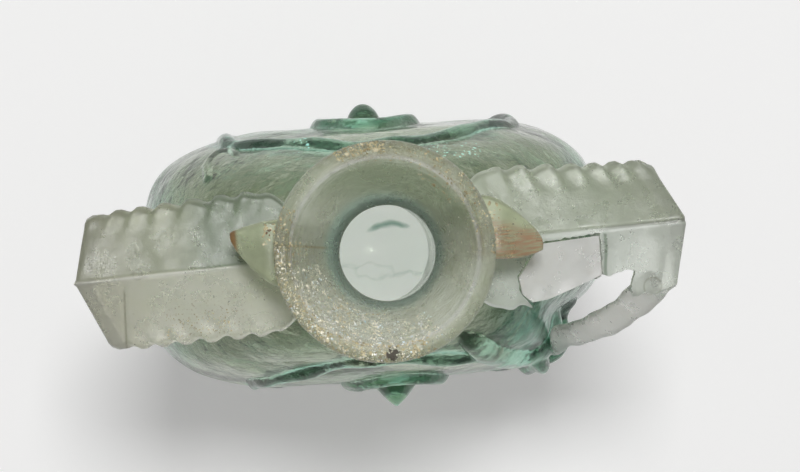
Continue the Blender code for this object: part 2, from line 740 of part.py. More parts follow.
def make_strip(material, frame):
    """The thin strip between the strap's outer corner and the body, all that is left of half of the upright."""
    path, across = strip_path()
    sides = 8
    points = []
    for index, point in enumerate(path):
        tangent = path[min(index + 1, len(path) - 1)] - path[max(index - 1, 0)]
        thick = across.cross(tangent.normalized()).normalized()
        half_width = STRIP_HALF_WIDTH * (0.94 - 0.06 * math.cos(index * 1.9))
        for corner in range(sides):
            angle = 2 * math.pi * (corner + 0.5) / sides
            u = math.copysign(abs(math.cos(angle)) ** 0.5, math.cos(angle))
            v = math.copysign(abs(math.sin(angle)) ** 0.8, math.sin(angle))
            points.append(point + across * half_width * u + thick * STRIP_THICKNESS / 2 * v)
    faces = []
    for index in range(len(path) - 1):
        for corner in range(sides):
            after = (corner + 1) % sides
            a = index * sides
            faces.append((a + after, a + corner, a + sides + corner, a + sides + after))
    faces.append(tuple(range(sides)))
    faces.append(tuple((len(path) - 1) * sides + corner for corner in reversed(range(sides))))
    return make_object("strip_guide", points, faces, material, frame)


def strap_block(name, outline, material, frame):
    """A block on an outline, taller than the strap is thick."""
    low = RIDGE_LEVEL - HANDLE_RIDGE - 2 * HANDLE_THICKNESS
    high = RIDGE_LEVEL + HANDLE_THICKNESS
    return prism(name, outline, low, high, "Z", material, frame)


def make_right_handle(corners, material, frame):
    handle = make_ribbon("right_handle", corners, 1, material, frame)
    outside = -1.5
    open_side = [(NEAR_BREAK_SHARES[-1][0], outside), (FAR_BREAK_SHARES[0][0], outside)]
    notch = list(NEAR_BREAK_SHARES) + open_side + list(FAR_BREAK_SHARES)
    combine(handle, strap_block("strap_break", strap_plan(notch), material, frame), "DIFFERENCE")
    upright = [
        (HANDLE_HALF_WIDTH * v, mix(PAD_TOP_LEVEL, RIDGE_LEVEL, share)) for share, v in UPRIGHT_BREAK_SHARES
    ]
    block = prism("upright_break", upright, HANDLE_REACH * 0.6, HANDLE_REACH * 1.1, "X", material, frame)
    combine(handle, block, "DIFFERENCE")
    combine(handle, make_strip(material, frame), "UNION")
    return handle


def make_fill(corners, material, frame):
    """The restorer's pane: the same ribbon, cut to the outline of the loss with a joint gap around it."""
    fill = make_ribbon("handle_fill", corners, 1, material, frame)
    outline = strap_plan(NEAR_BREAK_SHARES[:-1], (JOINT_GAP * 1.3, -JOINT_GAP))
    outline += list(reversed(strap_plan(FILL_EDGE_SHARES, (-JOINT_GAP, 0.0))))
    outline += strap_plan(FAR_BREAK_SHARES[-1:], (-JOINT_GAP, -JOINT_GAP))
    combine(fill, strap_block("fill_outline", outline, material, frame), "INTERSECT")
    return fill


def main():
    clear_scene()
    front = -face_point(TRAIL_CENTRE_X[-1], TRAIL_LEVEL, -1).y + POINTED_KNOB[1]
    back = face_point(TRAIL_CENTRE_X[1], TRAIL_LEVEL, 1).y + ROUND_KNOB[1]
    frame = bpy.data.objects.new("flask_frame", None)
    frame.location = (0, (front - back) / 2, 0)
    bpy.context.scene.collection.objects.link(frame)
    body_glass = make_material("blue_green_glass", (0.62, 0.78, 0.70), 0.12, 1.0)
    handle_glass = make_material("pale_weathered_glass", (0.74, 0.77, 0.68), 0.35, 1.0)
    fill_resin = make_material("clear_fill", (0.90, 0.90, 0.86), 0.2, 1.0)
    vessel = make_vessel(body_glass, frame)
    decorate(vessel, body_glass, frame)
    left = handle_corners(*LEFT_TONGUE, LEFT_EDGE_DROPS, LEFT_FAR_HALF_WIDTH)
    right = handle_corners(*RIGHT_TONGUE, RIGHT_EDGE_DROPS, RIGHT_FAR_HALF_WIDTH)
    make_ribbon("left_handle", left, -1, handle_glass, frame)
    make_right_handle(right, handle_glass, frame)
    make_fill(right, fill_resin, frame)


main()
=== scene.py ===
"""Dresses the two-handled flask: fine glass with ripples, weathering and soil, seen from above its mouth.

Metres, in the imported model's frame: +Z up along the neck, the handles along X, the broken one at +X.
"""

import math
from typing import NamedTuple

import bmesh
import bpy
import numpy as np
from mathutils import Matrix, Vector
from mathutils.bvhtree import BVHTree


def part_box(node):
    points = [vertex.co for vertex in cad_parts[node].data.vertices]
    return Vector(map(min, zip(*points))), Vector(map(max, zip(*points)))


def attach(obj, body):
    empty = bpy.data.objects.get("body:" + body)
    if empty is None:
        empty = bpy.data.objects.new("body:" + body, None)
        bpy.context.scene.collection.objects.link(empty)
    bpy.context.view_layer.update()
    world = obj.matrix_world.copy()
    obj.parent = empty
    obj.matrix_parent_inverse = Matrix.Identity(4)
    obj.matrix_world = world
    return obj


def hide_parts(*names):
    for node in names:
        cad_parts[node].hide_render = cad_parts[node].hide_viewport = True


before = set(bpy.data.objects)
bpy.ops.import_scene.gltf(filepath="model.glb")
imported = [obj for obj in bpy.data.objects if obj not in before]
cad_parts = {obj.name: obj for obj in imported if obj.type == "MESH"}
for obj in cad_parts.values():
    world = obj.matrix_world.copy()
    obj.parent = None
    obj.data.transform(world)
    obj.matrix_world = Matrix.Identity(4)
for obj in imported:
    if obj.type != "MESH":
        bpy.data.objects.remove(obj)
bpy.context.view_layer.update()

scene = bpy.context.scene

# Sizes of the glass, the same as in the construction.
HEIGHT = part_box("vessel")[1].z
BODY_HALF_WIDTH = 0.063
BODY_HALF_DEPTH = 0.0352
WIDEST_LEVEL = 0.074
BODY_TOP_LEVEL = 0.144
BODY_WALL = 0.0022
BASE_THICKNESS = 0.0045
FOOT_HALF_WIDTH = 0.026
FOOT_HALF_DEPTH = 0.0165
FOOT_KICK = 0.0035
CONTACT_SHARE = 0.62
SQUARENESS = 3.7
SHOULDER_FLATNESS = 0.8
FLANK_POWER = 1.85
FACE_POWER = 2.2
BODY_TURN = math.radians(-2.4)
DENT_DEPTH_SHARE = 0.15
DENT_ANGLE = math.radians(-22)
DENT_SPREAD = math.radians(9)
DENT_LEVEL = 0.088
DENT_RISE = 0.036
NECK_RADIUS = 0.0137
NECK_FOOT_RADIUS = 0.0150
NECK_WALL = 0.0026
NECK_BLEND = 4.0
NECK_SHIFT = (0.0010, -0.0004)
MOUTH_LEVEL = HEIGHT - 0.016
MOUTH_POWER = 1.6
RIM_RADIUS = 0.025
FOLD_RADIUS = 0.0016
FOLD_LEVEL = HEIGHT - 0.0056
FOLD_INNER_RADIUS = RIM_RADIUS - 0.0036
LEDGE_LEVEL = HEIGHT - 0.0024
LEDGE_RADIUS = RIM_RADIUS - 2 * FOLD_RADIUS
BORE_RADIUS = NECK_RADIUS - NECK_WALL
TRAIL_CENTRE_X = {1: -0.0007, -1: 0.0035}
TRAIL_LEVEL = 0.084
OUTER_TRAIL_RADIUS = 0.039
INNER_TRAIL_RADIUS = 0.0125
TRAIL_HALF_WIDTH = 0.0024
OUTER_TRAIL_HEIGHT = 0.0018
INNER_TRAIL_HEIGHT = 0.0024
TRAIL_WAVE = 0.0009
CREST_HEIGHT = 0.0026
BROKEN_TRAIL_SPAN = (-163, 168)
ROUND_KNOB = (0.0048, 0.0056)
POINTED_KNOB = (0.0074, 0.0078)
FIN_START = (-40, 0.070)
FIN_END = (-19, 0.086)
FIN_HEIGHT = 0.0042
FIN_HALF_WIDTH = 0.0018
HANDLE_REACH = 0.072
RIDGE_LEVEL = HEIGHT - 0.0235
HANDLE_HALF_WIDTH = 0.016
HANDLE_THICKNESS = 0.003
HANDLE_RIDGE = 0.0055
SHALLOW_RIDGE = 0.0032
LEFT_EDGE_DROPS = (HANDLE_RIDGE, SHALLOW_RIDGE)
RIGHT_EDGE_DROPS = (SHALLOW_RIDGE, HANDLE_RIDGE)
LEFT_FAR_HALF_WIDTH = 0.0152
RIGHT_FAR_HALF_WIDTH = 0.0140
ROOT_HALF_WIDTH = 0.009
CRIMP_PITCH = 0.0062
CRIMP_DEPTH = 0.0012
PAD_TOP_LEVEL = 0.103
PAD_END_LEVEL = 0.084
PAD_HALF_WIDTH = 0.013
PAD_RIDGE = 0.0022
TONGUE_DROP = 0.0105
TONGUE_THICKNESS = 0.0024
LEFT_TONGUE = (0.0342, (0.0056, 0.0080), (-0.0060, 0.0100))
RIGHT_TONGUE = (0.0361, (-0.0034, -0.0004), (-0.0042, 0.0108))
STRIP_HALF_WIDTH = 0.0037
STRIP_THICKNESS = 0.0025
STRIP_FOOT_LEVEL = 0.092
STRIP_FOOT_LENGTH = 0.012
STRIP_FOOT_SHARE = 0.715
STRIP_BOW = 0.0022
STRIP_TURN = math.radians(-42.6)
STRIP_TOP = (0.895, -0.84)
JOINT_GAP = 0.0003

# Sizes of the finer relief.
RIDGE_BEAD_HEIGHT = 0.00035
RIDGE_BEAD_HALF_WIDTH = 0.0005
TONGUE_CURVE = 0.72
JAG_DEPTH = 0.0013
JAG_PITCH = 0.0022
TONGUE_RIM_HEIGHT = 0.00035
FAR_LOBES = 0.7
FAR_LOBES_X = 0.062
STRIP_END_ROWS = 17
STRIP_END_SHARE = 0.42
FURROW_DEPTH = 0.0009
LOWER_FURROW_SHARE = 0.5
FURROW_LEAN = 0.006  # how far a furrow slants towards the bend on its way in from the edge
SCAR_X = 0.0006
SCAR_RADIUS = 0.0053
SCAR_SPREAD = 0.0006
SCAR_HEIGHT = 0.0008
CURL_HALF_WIDTH = 0.0011
CURL_HEIGHT = 0.0007
CURL_SIDE = 0.006  # the curl lies on the +Y face, beyond this distance from the flask's middle plane
CURL = ((-0.0425, 0.118), (-0.0430, 0.112), (-0.0405, 0.106), (-0.0365, 0.108), (-0.0350, 0.114))
ANGLE_SCALE = math.pi / 180 * 0.050  # metres along the skin for each degree round the body, near its corners
FOLD_PATH = ((-47, 0.126), (-45, 0.115), (-41, 0.104), (-34, 0.0975), (-26, 0.094))
FOLD_HALF_WIDTH = 0.0046
FOLD_HEIGHT = 0.0026
ON_FACE = 0.004  # how far from the flask's middle plane a broad face's trails begin
CREST_ANGLE = 0.1
CREST_SPREAD = 0.5
INNER_WALL_SHARE = NECK_WALL / BODY_WALL
RING_SAMPLES = 1441
BODY_SWELLS = ((0.00032, 11, 9, 0.034, (1, 1, 1)), (0.00012, 12, 10, 0.012, (1, 1, 0.5)))
FACE_SWELLS = ((0.00055, 13, 8, 0.017, (0.35, 1, 1)),)
INNER_SWELLS = ((0.00042, 21, 9, 0.026, (1, 1, 1)), (0.00016, 22, 10, 0.010, (1, 1, 0.5)))
SWELL_FADE = 0.02  # the swells die away over this height below the neck
FOOT_FADE = 0.012
CREASES = (  # on the left strap: x at the ridge, x at the edge, half width, depth
    (-0.0606, -0.0621, 0.00035, 0.00060),
    (-0.0560, -0.0556, 0.00060, 0.00020),
)


def rim_middle():
    """The middle of the rim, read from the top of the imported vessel."""
    tops = [vertex.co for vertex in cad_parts["vessel"].data.vertices if vertex.co.z > HEIGHT - 0.0001]
    return sum((top.y for top in tops), 0.0) / len(tops)


FLASK_Y = rim_middle()

# The camera. Pixel sizes and places are in the photograph's 800 by 472 frame.
IMAGE_WIDTH = 800
IMAGE_HEIGHT = 472
FOCAL_PIXELS = 2240
RIM_CENTRE_PIXEL = (385, 251.5)
CAMERA_DISTANCE = 0.500
CAMERA_SIDE = -0.013
CAMERA_ROLL = math.atan2(0.105, 0.9945)


def make_camera():
    """Looks down into the mouth, a little from the left, rolled so that the handles rise to the right."""
    camera = bpy.data.objects.new("camera", bpy.data.cameras.new("camera"))
    camera.data.sensor_width = 36
    camera.data.lens = FOCAL_PIXELS / IMAGE_WIDTH * camera.data.sensor_width
    camera.data.clip_start = 0.02
    rim = Vector((0, FLASK_Y, HEIGHT))
    eye = rim + Vector((CAMERA_SIDE, 0, CAMERA_DISTANCE))
    right = Vector((math.cos(CAMERA_ROLL), -math.sin(CAMERA_ROLL), 0))
    up = Vector((math.sin(CAMERA_ROLL), math.cos(CAMERA_ROLL), 0))
    per_pixel = CAMERA_DISTANCE / FOCAL_PIXELS
    aim = rim + right * ((IMAGE_WIDTH / 2 - RIM_CENTRE_PIXEL[0]) * per_pixel)
    aim += up * ((RIM_CENTRE_PIXEL[1] - IMAGE_HEIGHT / 2) * per_pixel)
    back = (eye - aim).normalized()
    across = up.cross(back).normalized()
    above = back.cross(across)
    rotation = Matrix((across, above, back)).transposed().to_4x4()
    camera.matrix_world = Matrix.Translation(eye) @ rotation
    scene.collection.objects.link(camera)
    scene.camera = camera


make_camera()


# Small helpers for the shapes.

def mix(start, end, share):
    return start + (end - start) * share


def smoothstep(value):
    value = np.clip(value, 0.0, 1.0)
    return value * value * (3 - 2 * value)


def bump(value, middle, spread):
    return np.exp(-(((value - middle) / spread) ** 2))


def waves(points, seed, count, length, stretch=(1, 1, 1)):
    """A gentle random swell from -1 to 1, as a sum of waves of about one length."""
    rng = np.random.default_rng(seed)
    total = np.zeros(len(points))
    for _ in range(count):
        direction = rng.normal(size=3)
        direction /= np.linalg.norm(direction)
        pitch = length * rng.uniform(0.7, 1.4)
        phase = rng.uniform(0, 2 * np.pi)
        total += np.sin(points @ (direction * stretch) * 2 * np.pi / pitch + phase)
    return total / math.sqrt(count) / 1.6


def swells(points, layers):
    """Waves of several lengths, each with its height first."""
    return sum(height * waves(points, *layer) for height, *layer in layers)


def worked(mesh, *steps):
    """Does steps of mesh editing to all faces of a mesh."""
    work = bmesh.new()
    work.from_mesh(mesh)
    for step in steps:
        step(work, faces=work.faces)
    work.to_mesh(mesh)
    work.free()
    return mesh


def new_mesh(name, points, faces, *steps):
    mesh = bpy.data.meshes.new(name)
    mesh.from_pydata(np.asarray(points).tolist(), [], faces)
    return worked(mesh, *steps) if steps else mesh


SMOOTH_UP_TO = 50  # degrees between two faces of smooth glass
SMOOTH_BESIDE_BREAKS = 35
SMOOTH_LUMPS = 60


def finish_piece(name, mesh, material, smooth_up_to, replaces=None):
    worked(mesh, bmesh.ops.triangulate)
    mesh.materials.clear()
    mesh.materials.append(material)
    mesh.shade_smooth()
    mesh.set_sharp_from_angle(angle=math.radians(smooth_up_to))
    piece = bpy.data.objects.new(name, mesh)
    scene.collection.objects.link(piece)
    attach(piece, "root")
    if replaces:
        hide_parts(replaces)
    return piece


def vectors(items, name):
    """One vector of each vertex of a mesh, as an array."""
    flat = np.empty(len(items) * 3, np.float32)
    items.foreach_get(name, flat)
    return flat.reshape(-1, 3).astype(float)


def tube_faces(rows, columns, start=0):
    """Quads between rings of points that close on themselves."""
    faces = []
    for row in range(rows - 1):
        low = start + row * columns
        for column in range(columns):
            after = (column + 1) % columns
            faces.append((low + column, low + after, low + columns + after, low + columns + column))
    return faces


# The vessel's surface, as in the construction.

def up_neck(level):
    """0 at the neck's foot and below it, 1 at the mouth and above it."""
    return smoothstep((level - BODY_TOP_LEVEL) / (MOUTH_LEVEL - BODY_TOP_LEVEL))


def neck_radius(level, inset):
    return mix(NECK_FOOT_RADIUS, NECK_RADIUS, up_neck(level)) - inset * INNER_WALL_SHARE


def half_size(level, widest, foot, power, flatness, inset):
    floor = BASE_THICKNESS if inset else 0.0
    fall = np.clip((WIDEST_LEVEL - level) / (WIDEST_LEVEL - floor), 0.0, 1.0)
    lower = mix(foot, widest, (1 - fall**power) ** (1 / power)) - inset
    rise = np.clip((level - WIDEST_LEVEL) / (BODY_TOP_LEVEL - inset - WIDEST_LEVEL), 0.0, 1.0)
    body = (widest - inset) * (1 - rise * rise) ** (flatness / 2)
    upper = (body**NECK_BLEND + neck_radius(level, inset) ** NECK_BLEND) ** (1 / NECK_BLEND)
    return np.where(level <= WIDEST_LEVEL, lower, upper)


def reach(angle, level, inset=0.0):
    width = half_size(level, BODY_HALF_WIDTH, FOOT_HALF_WIDTH, FLANK_POWER, 1.0, inset)
    depth = half_size(level, BODY_HALF_DEPTH, FOOT_HALF_DEPTH, FACE_POWER, SHOULDER_FLATNESS, inset)
    fullness = np.clip((width - NECK_FOOT_RADIUS) / (BODY_HALF_WIDTH - NECK_FOOT_RADIUS), 0.0, 1.0)
    power = mix(2.0, SQUARENESS, fullness**0.7)
    across = (np.abs(np.cos(angle)) / width) ** power + (np.abs(np.sin(angle)) / depth) ** power
    turn = np.remainder(angle - DENT_ANGLE + np.pi, 2 * np.pi) - np.pi
    dent = DENT_DEPTH_SHARE * bump(turn, 0, DENT_SPREAD) * bump(level, DENT_LEVEL, DENT_RISE)
    return across ** (-1 / power) * (1 - dent)


def surface(angle, level, inset=0.0):
    """Points of the body and the neck, without the shift of the neck."""
    angle, level = np.broadcast_arrays(np.asarray(angle, float), np.asarray(level, float))
    distance = reach(angle, level, inset)
    turned = angle + BODY_TURN
    return np.stack([distance * np.cos(turned), distance * np.sin(turned) + FLASK_Y, level], axis=-1)


def neck_lean(level):
    return np.array([*NECK_SHIFT, 0.0]) * up_neck(level)


VESSEL_COLUMNS = 264
FACE_WEIGHT = 0.55  # how thinly the narrow flanks are divided beside the broad faces


def body_ring(level, inset=0.0):
    angle = np.linspace(0, 2 * np.pi, RING_SAMPLES)
    points = surface(angle, level, inset)
    steps = np.linalg.norm(np.diff(points, axis=0), axis=1)
    across = np.abs(np.sin(angle[:-1]))
    steps *= mix(FACE_WEIGHT, 1.0, smoothstep(across * 2.2))
    length = np.concatenate([[0.0], np.cumsum(steps)])
    wanted = np.arange(VESSEL_COLUMNS) / VESSEL_COLUMNS * length[-1]
    return surface(np.interp(wanted, length, angle), level, inset) + neck_lean(level)


def neck_angles():
    """The angles at which the neck's points lie, for the mouth's circles to carry on."""
    ring = body_ring(MOUTH_LEVEL)
    lean = neck_lean(MOUTH_LEVEL)
    return np.arctan2(ring[:, 1] - FLASK_Y - lean[1], ring[:, 0] - lean[0])


def round_ring(radius, level, share, angle):
    """A circle of the mouth, with its share of the neck's shift."""
    points = np.stack([radius * np.cos(angle), radius * np.sin(angle), np.full(len(angle), level)], axis=-1)
    return points + np.array([0.0, FLASK_Y, 0.0]) + neck_lean(MOUTH_LEVEL) * share


def mouth_outline():
    """Radius, level and share of the neck's shift: up the flare, over the fold and down the funnel."""
    outline = []
    for share in np.linspace(0.06, 1.0, 12):
        radius = mix(NECK_RADIUS, FOLD_INNER_RADIUS, share**MOUTH_POWER)
        outline.append((radius, mix(MOUTH_LEVEL, FOLD_LEVEL, share), 1 - share))
    corner = RIM_RADIUS - FOLD_RADIUS
    bends = ((FOLD_LEVEL + FOLD_RADIUS, -math.pi / 2, 0, 8), (HEIGHT - FOLD_RADIUS, 0, math.pi, 16))
    for level, start, end, count in bends:
        for angle in np.linspace(start, end, count):
            radius = corner + FOLD_RADIUS * math.cos(angle)
            outline.append((radius, level + FOLD_RADIUS * math.sin(angle), 0))
    outline.append((LEDGE_RADIUS - 0.0001, LEDGE_LEVEL + 0.0003, 0))
    inner_edge = LEDGE_RADIUS - FOLD_RADIUS / 2
    outline.append((mix(LEDGE_RADIUS, inner_edge, 0.6), LEDGE_LEVEL, 0))
    for share in np.linspace(0.98, 0.0, 26):
        radius = mix(BORE_RADIUS, inner_edge, share**MOUTH_POWER)
        outline.append((radius, mix(MOUTH_LEVEL - NECK_WALL, LEDGE_LEVEL, share), 1 - share))
    return outline


def vessel_rings():
    rings = []
    foot = body_ring(0.0)
    middle = np.array([0.0, FLASK_Y, 0.0])
    for share in np.linspace(0.05, 1.0, 14) * CONTACT_SHARE:
        ring = middle + (foot - middle) * share
        ring[:, 2] = FOOT_KICK * smoothstep(1 - share / CONTACT_SHARE)
        rings.append(ring)
    rings.append(middle + (foot - middle) * 0.9)
    for share in np.linspace(0.0, 1.0, 44):
        rings.append(body_ring(WIDEST_LEVEL * (1 - math.cos(math.pi / 2 * share))))
    top = math.radians(86)
    for share in np.linspace(0.022, 1.0, 46):
        rings.append(body_ring(WIDEST_LEVEL + (BODY_TOP_LEVEL - WIDEST_LEVEL) * math.sin(top * share)))
    for share in np.linspace(0.03, 1.0, 16):
        rings.append(body_ring(mix(BODY_TOP_LEVEL, MOUTH_LEVEL, share)))
    angles = neck_angles()
    for radius, level, share in mouth_outline():
        rings.append(round_ring(radius, level, share, angles))
    for share in np.linspace(0.05, 0.95, 14):
        rings.append(body_ring(mix(MOUTH_LEVEL - NECK_WALL, BODY_TOP_LEVEL, share), BODY_WALL))
    rise = BODY_TOP_LEVEL - BODY_WALL - WIDEST_LEVEL
    for share in np.linspace(1.0, 0.03, 34):
        rings.append(body_ring(WIDEST_LEVEL + rise * math.sin(top * share), BODY_WALL))
    for share in np.linspace(0.0, 1.0, 30):
        level = BASE_THICKNESS + (WIDEST_LEVEL - BASE_THICKNESS) * (1 - math.sin(math.pi / 2 * share))
        rings.append(body_ring(level, BODY_WALL))
    floor = rings[-1]
    for share in (0.85, 0.65, 0.45, 0.25, 0.08):
        ring = middle + (floor - middle) * share
        ring[:, 2] = BASE_THICKNESS + FOOT_KICK * smoothstep(1 - share)
        rings.append(ring)
    return rings


def body_place(points):
    """Places in the body's own turned frame: along the broad faces, through them, and the level."""
    x = points[:, 0]
    y = points[:, 1] - FLASK_Y
    along = np.cos(BODY_TURN) * x + np.sin(BODY_TURN) * y
    through = -np.sin(BODY_TURN) * x + np.cos(BODY_TURN) * y
    return along, through, points[:, 2]


def rounded(distance, half_width):
    """The height of a melted thread's cross-section, from 1 in its middle to 0 at its edge."""
    return np.clip(1 - (distance / half_width) ** 2, 0, 1) ** 0.7


def trail_distance(along, level, face, radius):
    """How far each point lies from a wavy ring of thread, and its angle round the ring."""
    x = along - TRAIL_CENTRE_X[face]
    z = level - TRAIL_LEVEL
    angle = np.arctan2(z, x)
    wave = TRAIL_WAVE * radius / OUTER_TRAIL_RADIUS * (np.sin(5 * angle + face) + 0.6 * np.sin(8 * angle))
    return np.abs(np.hypot(x, z) - radius - wave), angle


def fin_distance(along, through, level):
    angle = np.degrees(np.arctan2(through, along))
    start, end = np.array(FIN_START), np.array(FIN_END)
    scale = np.array([ANGLE_SCALE, 1.0])
    line = (end - start) * scale
    place = (np.stack([angle, level], axis=1) - start) * scale
    share = np.clip(place @ line / (line @ line), 0, 1)
    return np.linalg.norm(place - share[:, None] * line, axis=1), share


def decoration(points):
    """How far the trails, knobs and the fin stand off the body at each point of its outer side."""
    along, through, level = body_place(points)
    height = np.zeros(len(points))
    for face in (1, -1):
        on_face = through * face > ON_FACE
        outer, angle = trail_distance(along, level, face, OUTER_TRAIL_RADIUS)
        crest = bump(angle, CREST_ANGLE, CREST_SPREAD) * (0.8 + 0.2 * np.sin(9 * angle)) if face < 0 else 0.0
        lift = (OUTER_TRAIL_HEIGHT + CREST_HEIGHT * crest) * rounded(outer, TRAIL_HALF_WIDTH)
        lift *= 1 + 0.18 * np.sin(13 * angle + 2 * face)
        if face < 0:
            start, end = (math.radians(value) for value in BROKEN_TRAIL_SPAN)
            lift *= smoothstep((angle - start) / 0.10) * smoothstep((end - angle) / 0.025)
            lift *= 1 + 0.5 * bump(angle, end, 0.10)
        inner, angle = trail_distance(along, level, face, INNER_TRAIL_RADIUS)
        lift = np.maximum(lift, INNER_TRAIL_HEIGHT * rounded(inner, TRAIL_HALF_WIDTH))
        radius, tall = ROUND_KNOB if face > 0 else POINTED_KNOB
        away = np.hypot(along - TRAIL_CENTRE_X[face], level - TRAIL_LEVEL) / radius
        if face > 0:
            knob = tall * np.clip(1 - away**2, 0, 1) ** 0.6
        else:
            knob = tall * np.clip(1 - away, 0, 1) ** 1.15 * (1 + 0.5 * np.clip(away, 0, 1))
        height = np.where(on_face, np.maximum(lift, knob), height)
    distance, share = fin_distance(along, through, level)
    swell = np.sin(math.pi * (0.12 + 0.76 * share))
    fin = FIN_HEIGHT * swell * rounded(distance, FIN_HALF_WIDTH * 1.4)
    on_corner = (through < 0) & (along > 0)
    return np.where(on_corner, np.maximum(height, fin), height)


def line_distance(x, z, path):
    """How far each place lies from a line through a few points."""
    nearest = np.full(x.shape, 1.0)
    for start, end in zip(path, path[1:]):
        start, end = np.array(start), np.array(end)
        run = end - start
        share = np.clip(((x - start[0]) * run[0] + (z - start[1]) * run[1]) / (run @ run), 0, 1)
        nearest = np.minimum(nearest, np.hypot(x - start[0] - share * run[0], z - start[1] - share * run[1]))
    return nearest


def fold_height(along, through, level):
    """The crest that runs from the fin up the corner."""
    angle = np.degrees(np.arctan2(through, along)) * ANGLE_SCALE
    path = [(turn * ANGLE_SCALE, height) for turn, height in FOLD_PATH]
    crest = rounded(line_distance(angle, level, path), FOLD_HALF_WIDTH)
    return np.where((through < 0) & (along > 0), FOLD_HEIGHT * crest, 0.0)


def marks(points):
    """The curled thread on the shoulder and the scar that the pontil left under the foot."""
    along, through, level = body_place(points)
    thread = CURL_HEIGHT * rounded(line_distance(along, level, CURL), CURL_HALF_WIDTH)
    curl = np.where(through > CURL_SIDE, thread, 0.0)
    ring = bump(np.hypot(along - SCAR_X, through), SCAR_RADIUS, SCAR_SPREAD)
    rough = 0.6 + 0.4 * np.sin(7 * np.arctan2(through, along) + 1.3)
    scar = np.where(level < FOOT_KICK + 0.0002, SCAR_HEIGHT * ring * rough, 0.0)
    return curl + scar


def near_decoration(points, margin):
    along, through, level = body_place(points)
    near = np.zeros(len(points), bool)
    for face in (1, -1):
        on_face = through * face > ON_FACE
        for radius in (OUTER_TRAIL_RADIUS, INNER_TRAIL_RADIUS):
            distance, _ = trail_distance(along, level, face, radius)
            near |= on_face & (distance < margin)
        away = np.hypot(along - TRAIL_CENTRE_X[face], level - TRAIL_LEVEL)
        near |= on_face & (away < POINTED_KNOB[0] + margin / 2)
    near |= (through > CURL_SIDE) & (line_distance(along, level, CURL) < margin * 0.8)
    distance, _ = fin_distance(along, through, level)
    near |= (distance < margin) & (through < 0) & (along > 0)
    return near | (fold_height(along, through, level) > 0)


def outwardness(points, normals):
    axis = points.copy()
    axis[:, :2] = (0.0, FLASK_Y)
    return ((points - axis) * normals).sum(axis=1)


def divide_near_trails(work, faces):
    """Divides the outer faces near the trails once more."""
    work.normal_update()
    centres = np.array([face.calc_center_median()[:] for face in faces])
    normals = np.array([face.normal[:] for face in faces])
    wanted = near_decoration(centres, TRAIL_HALF_WIDTH * 1.35) & (outwardness(centres, normals) > 0)
    chosen = dict.fromkeys(edge for face, want in zip(faces, wanted) if want for edge in face.edges)
    bmesh.ops.subdivide_edges(work, edges=list(chosen), cuts=1, use_grid_fill=True)
    work.normal_update()


def make_vessel(material, mouth_material):
    rings = vessel_rings()
    faces = tube_faces(len(rings), VESSEL_COLUMNS)
    last = (len(rings) - 1) * VESSEL_COLUMNS
    bottom = last + VESSEL_COLUMNS
    ends = np.array([[0, FLASK_Y, FOOT_KICK], [0, FLASK_Y, BASE_THICKNESS + FOOT_KICK]])
    for column in range(VESSEL_COLUMNS):
        after = (column + 1) % VESSEL_COLUMNS
        faces.append((bottom, after, column))
        faces.append((bottom + 1, last + column, last + after))
    mesh = new_mesh("glass_vessel", np.concatenate([*rings, ends]), faces, divide_near_trails)
    points = vectors(mesh.vertices, "co")
    normals = vectors(mesh.vertex_normals, "vector")
    outer = outwardness(points, normals) > 0
    along, through, level = body_place(points)
    crests = np.maximum(decoration(points), fold_height(along, through, level))
    height = np.where(outer, crests + marks(points), 0.0)
    on_body = smoothstep((BODY_TOP_LEVEL + 0.004 - level) / SWELL_FADE) * smoothstep(level / FOOT_FADE)
    on_faces = smoothstep((np.abs(through) - 0.016) / 0.012)
    swell = swells(points, BODY_SWELLS) + swells(points, FACE_SWELLS) * on_faces
    height += on_body * np.where(outer, swell, swells(points, INNER_SWELLS))
    moved = points + normals * height[:, None]
    mesh.vertices.foreach_set("co", moved.astype(np.float32).ravel())
    mesh.update()
    piece = finish_piece("glass_vessel", mesh, material, SMOOTH_UP_TO, "vessel")
    mesh.materials.append(mouth_material)
    for face in mesh.polygons:
        face.material_index = int(face.center.z > MOUTH_LEVEL - NECK_WALL)
    return piece


# The handles.

class Corner(NamedTuple):
    """One corner of the ribbon's path in the XZ plane, and what holds from there to the next one."""
    x: float
    level: float
    thickness: float
    y_low: float
    y_high: float
    drop_low: float = 0.0
    drop_high: float = 0.0
    crimped: bool = False

    @property
    def spot(self):
        return Vector((self.x, self.level))


def mouth_underside(radius):
    share = np.clip((radius - NECK_RADIUS) / (FOLD_INNER_RADIUS - NECK_RADIUS), 0.0, 1.0)
    flare = mix(MOUTH_LEVEL, FOLD_LEVEL, share ** (1 / MOUTH_POWER))
    return np.where(radius >= FOLD_INNER_RADIUS, FOLD_LEVEL, flare)


def flank(y, level, side):
    """How far out the body's narrow side lies at one y, measured from the flask's middle."""
    y, level = np.broadcast_arrays(np.asarray(y, float), np.asarray(level, float))
    base = 0.0 if side > 0 else math.pi
    turn = np.where(y >= 0, side, -side)
    low = np.zeros(y.shape)
    high = np.full(y.shape, math.pi / 2)
    for _ in range(28):
        middle = (low + high) / 2
        there = surface(base + turn * middle - BODY_TURN, level)
        short = np.abs(there[..., 1] - FLASK_Y) < np.abs(y)
        low = np.where(short, middle, low)
        high = np.where(short, high, middle)
    return side * surface(base + turn * low - BODY_TURN, level)[..., 0]


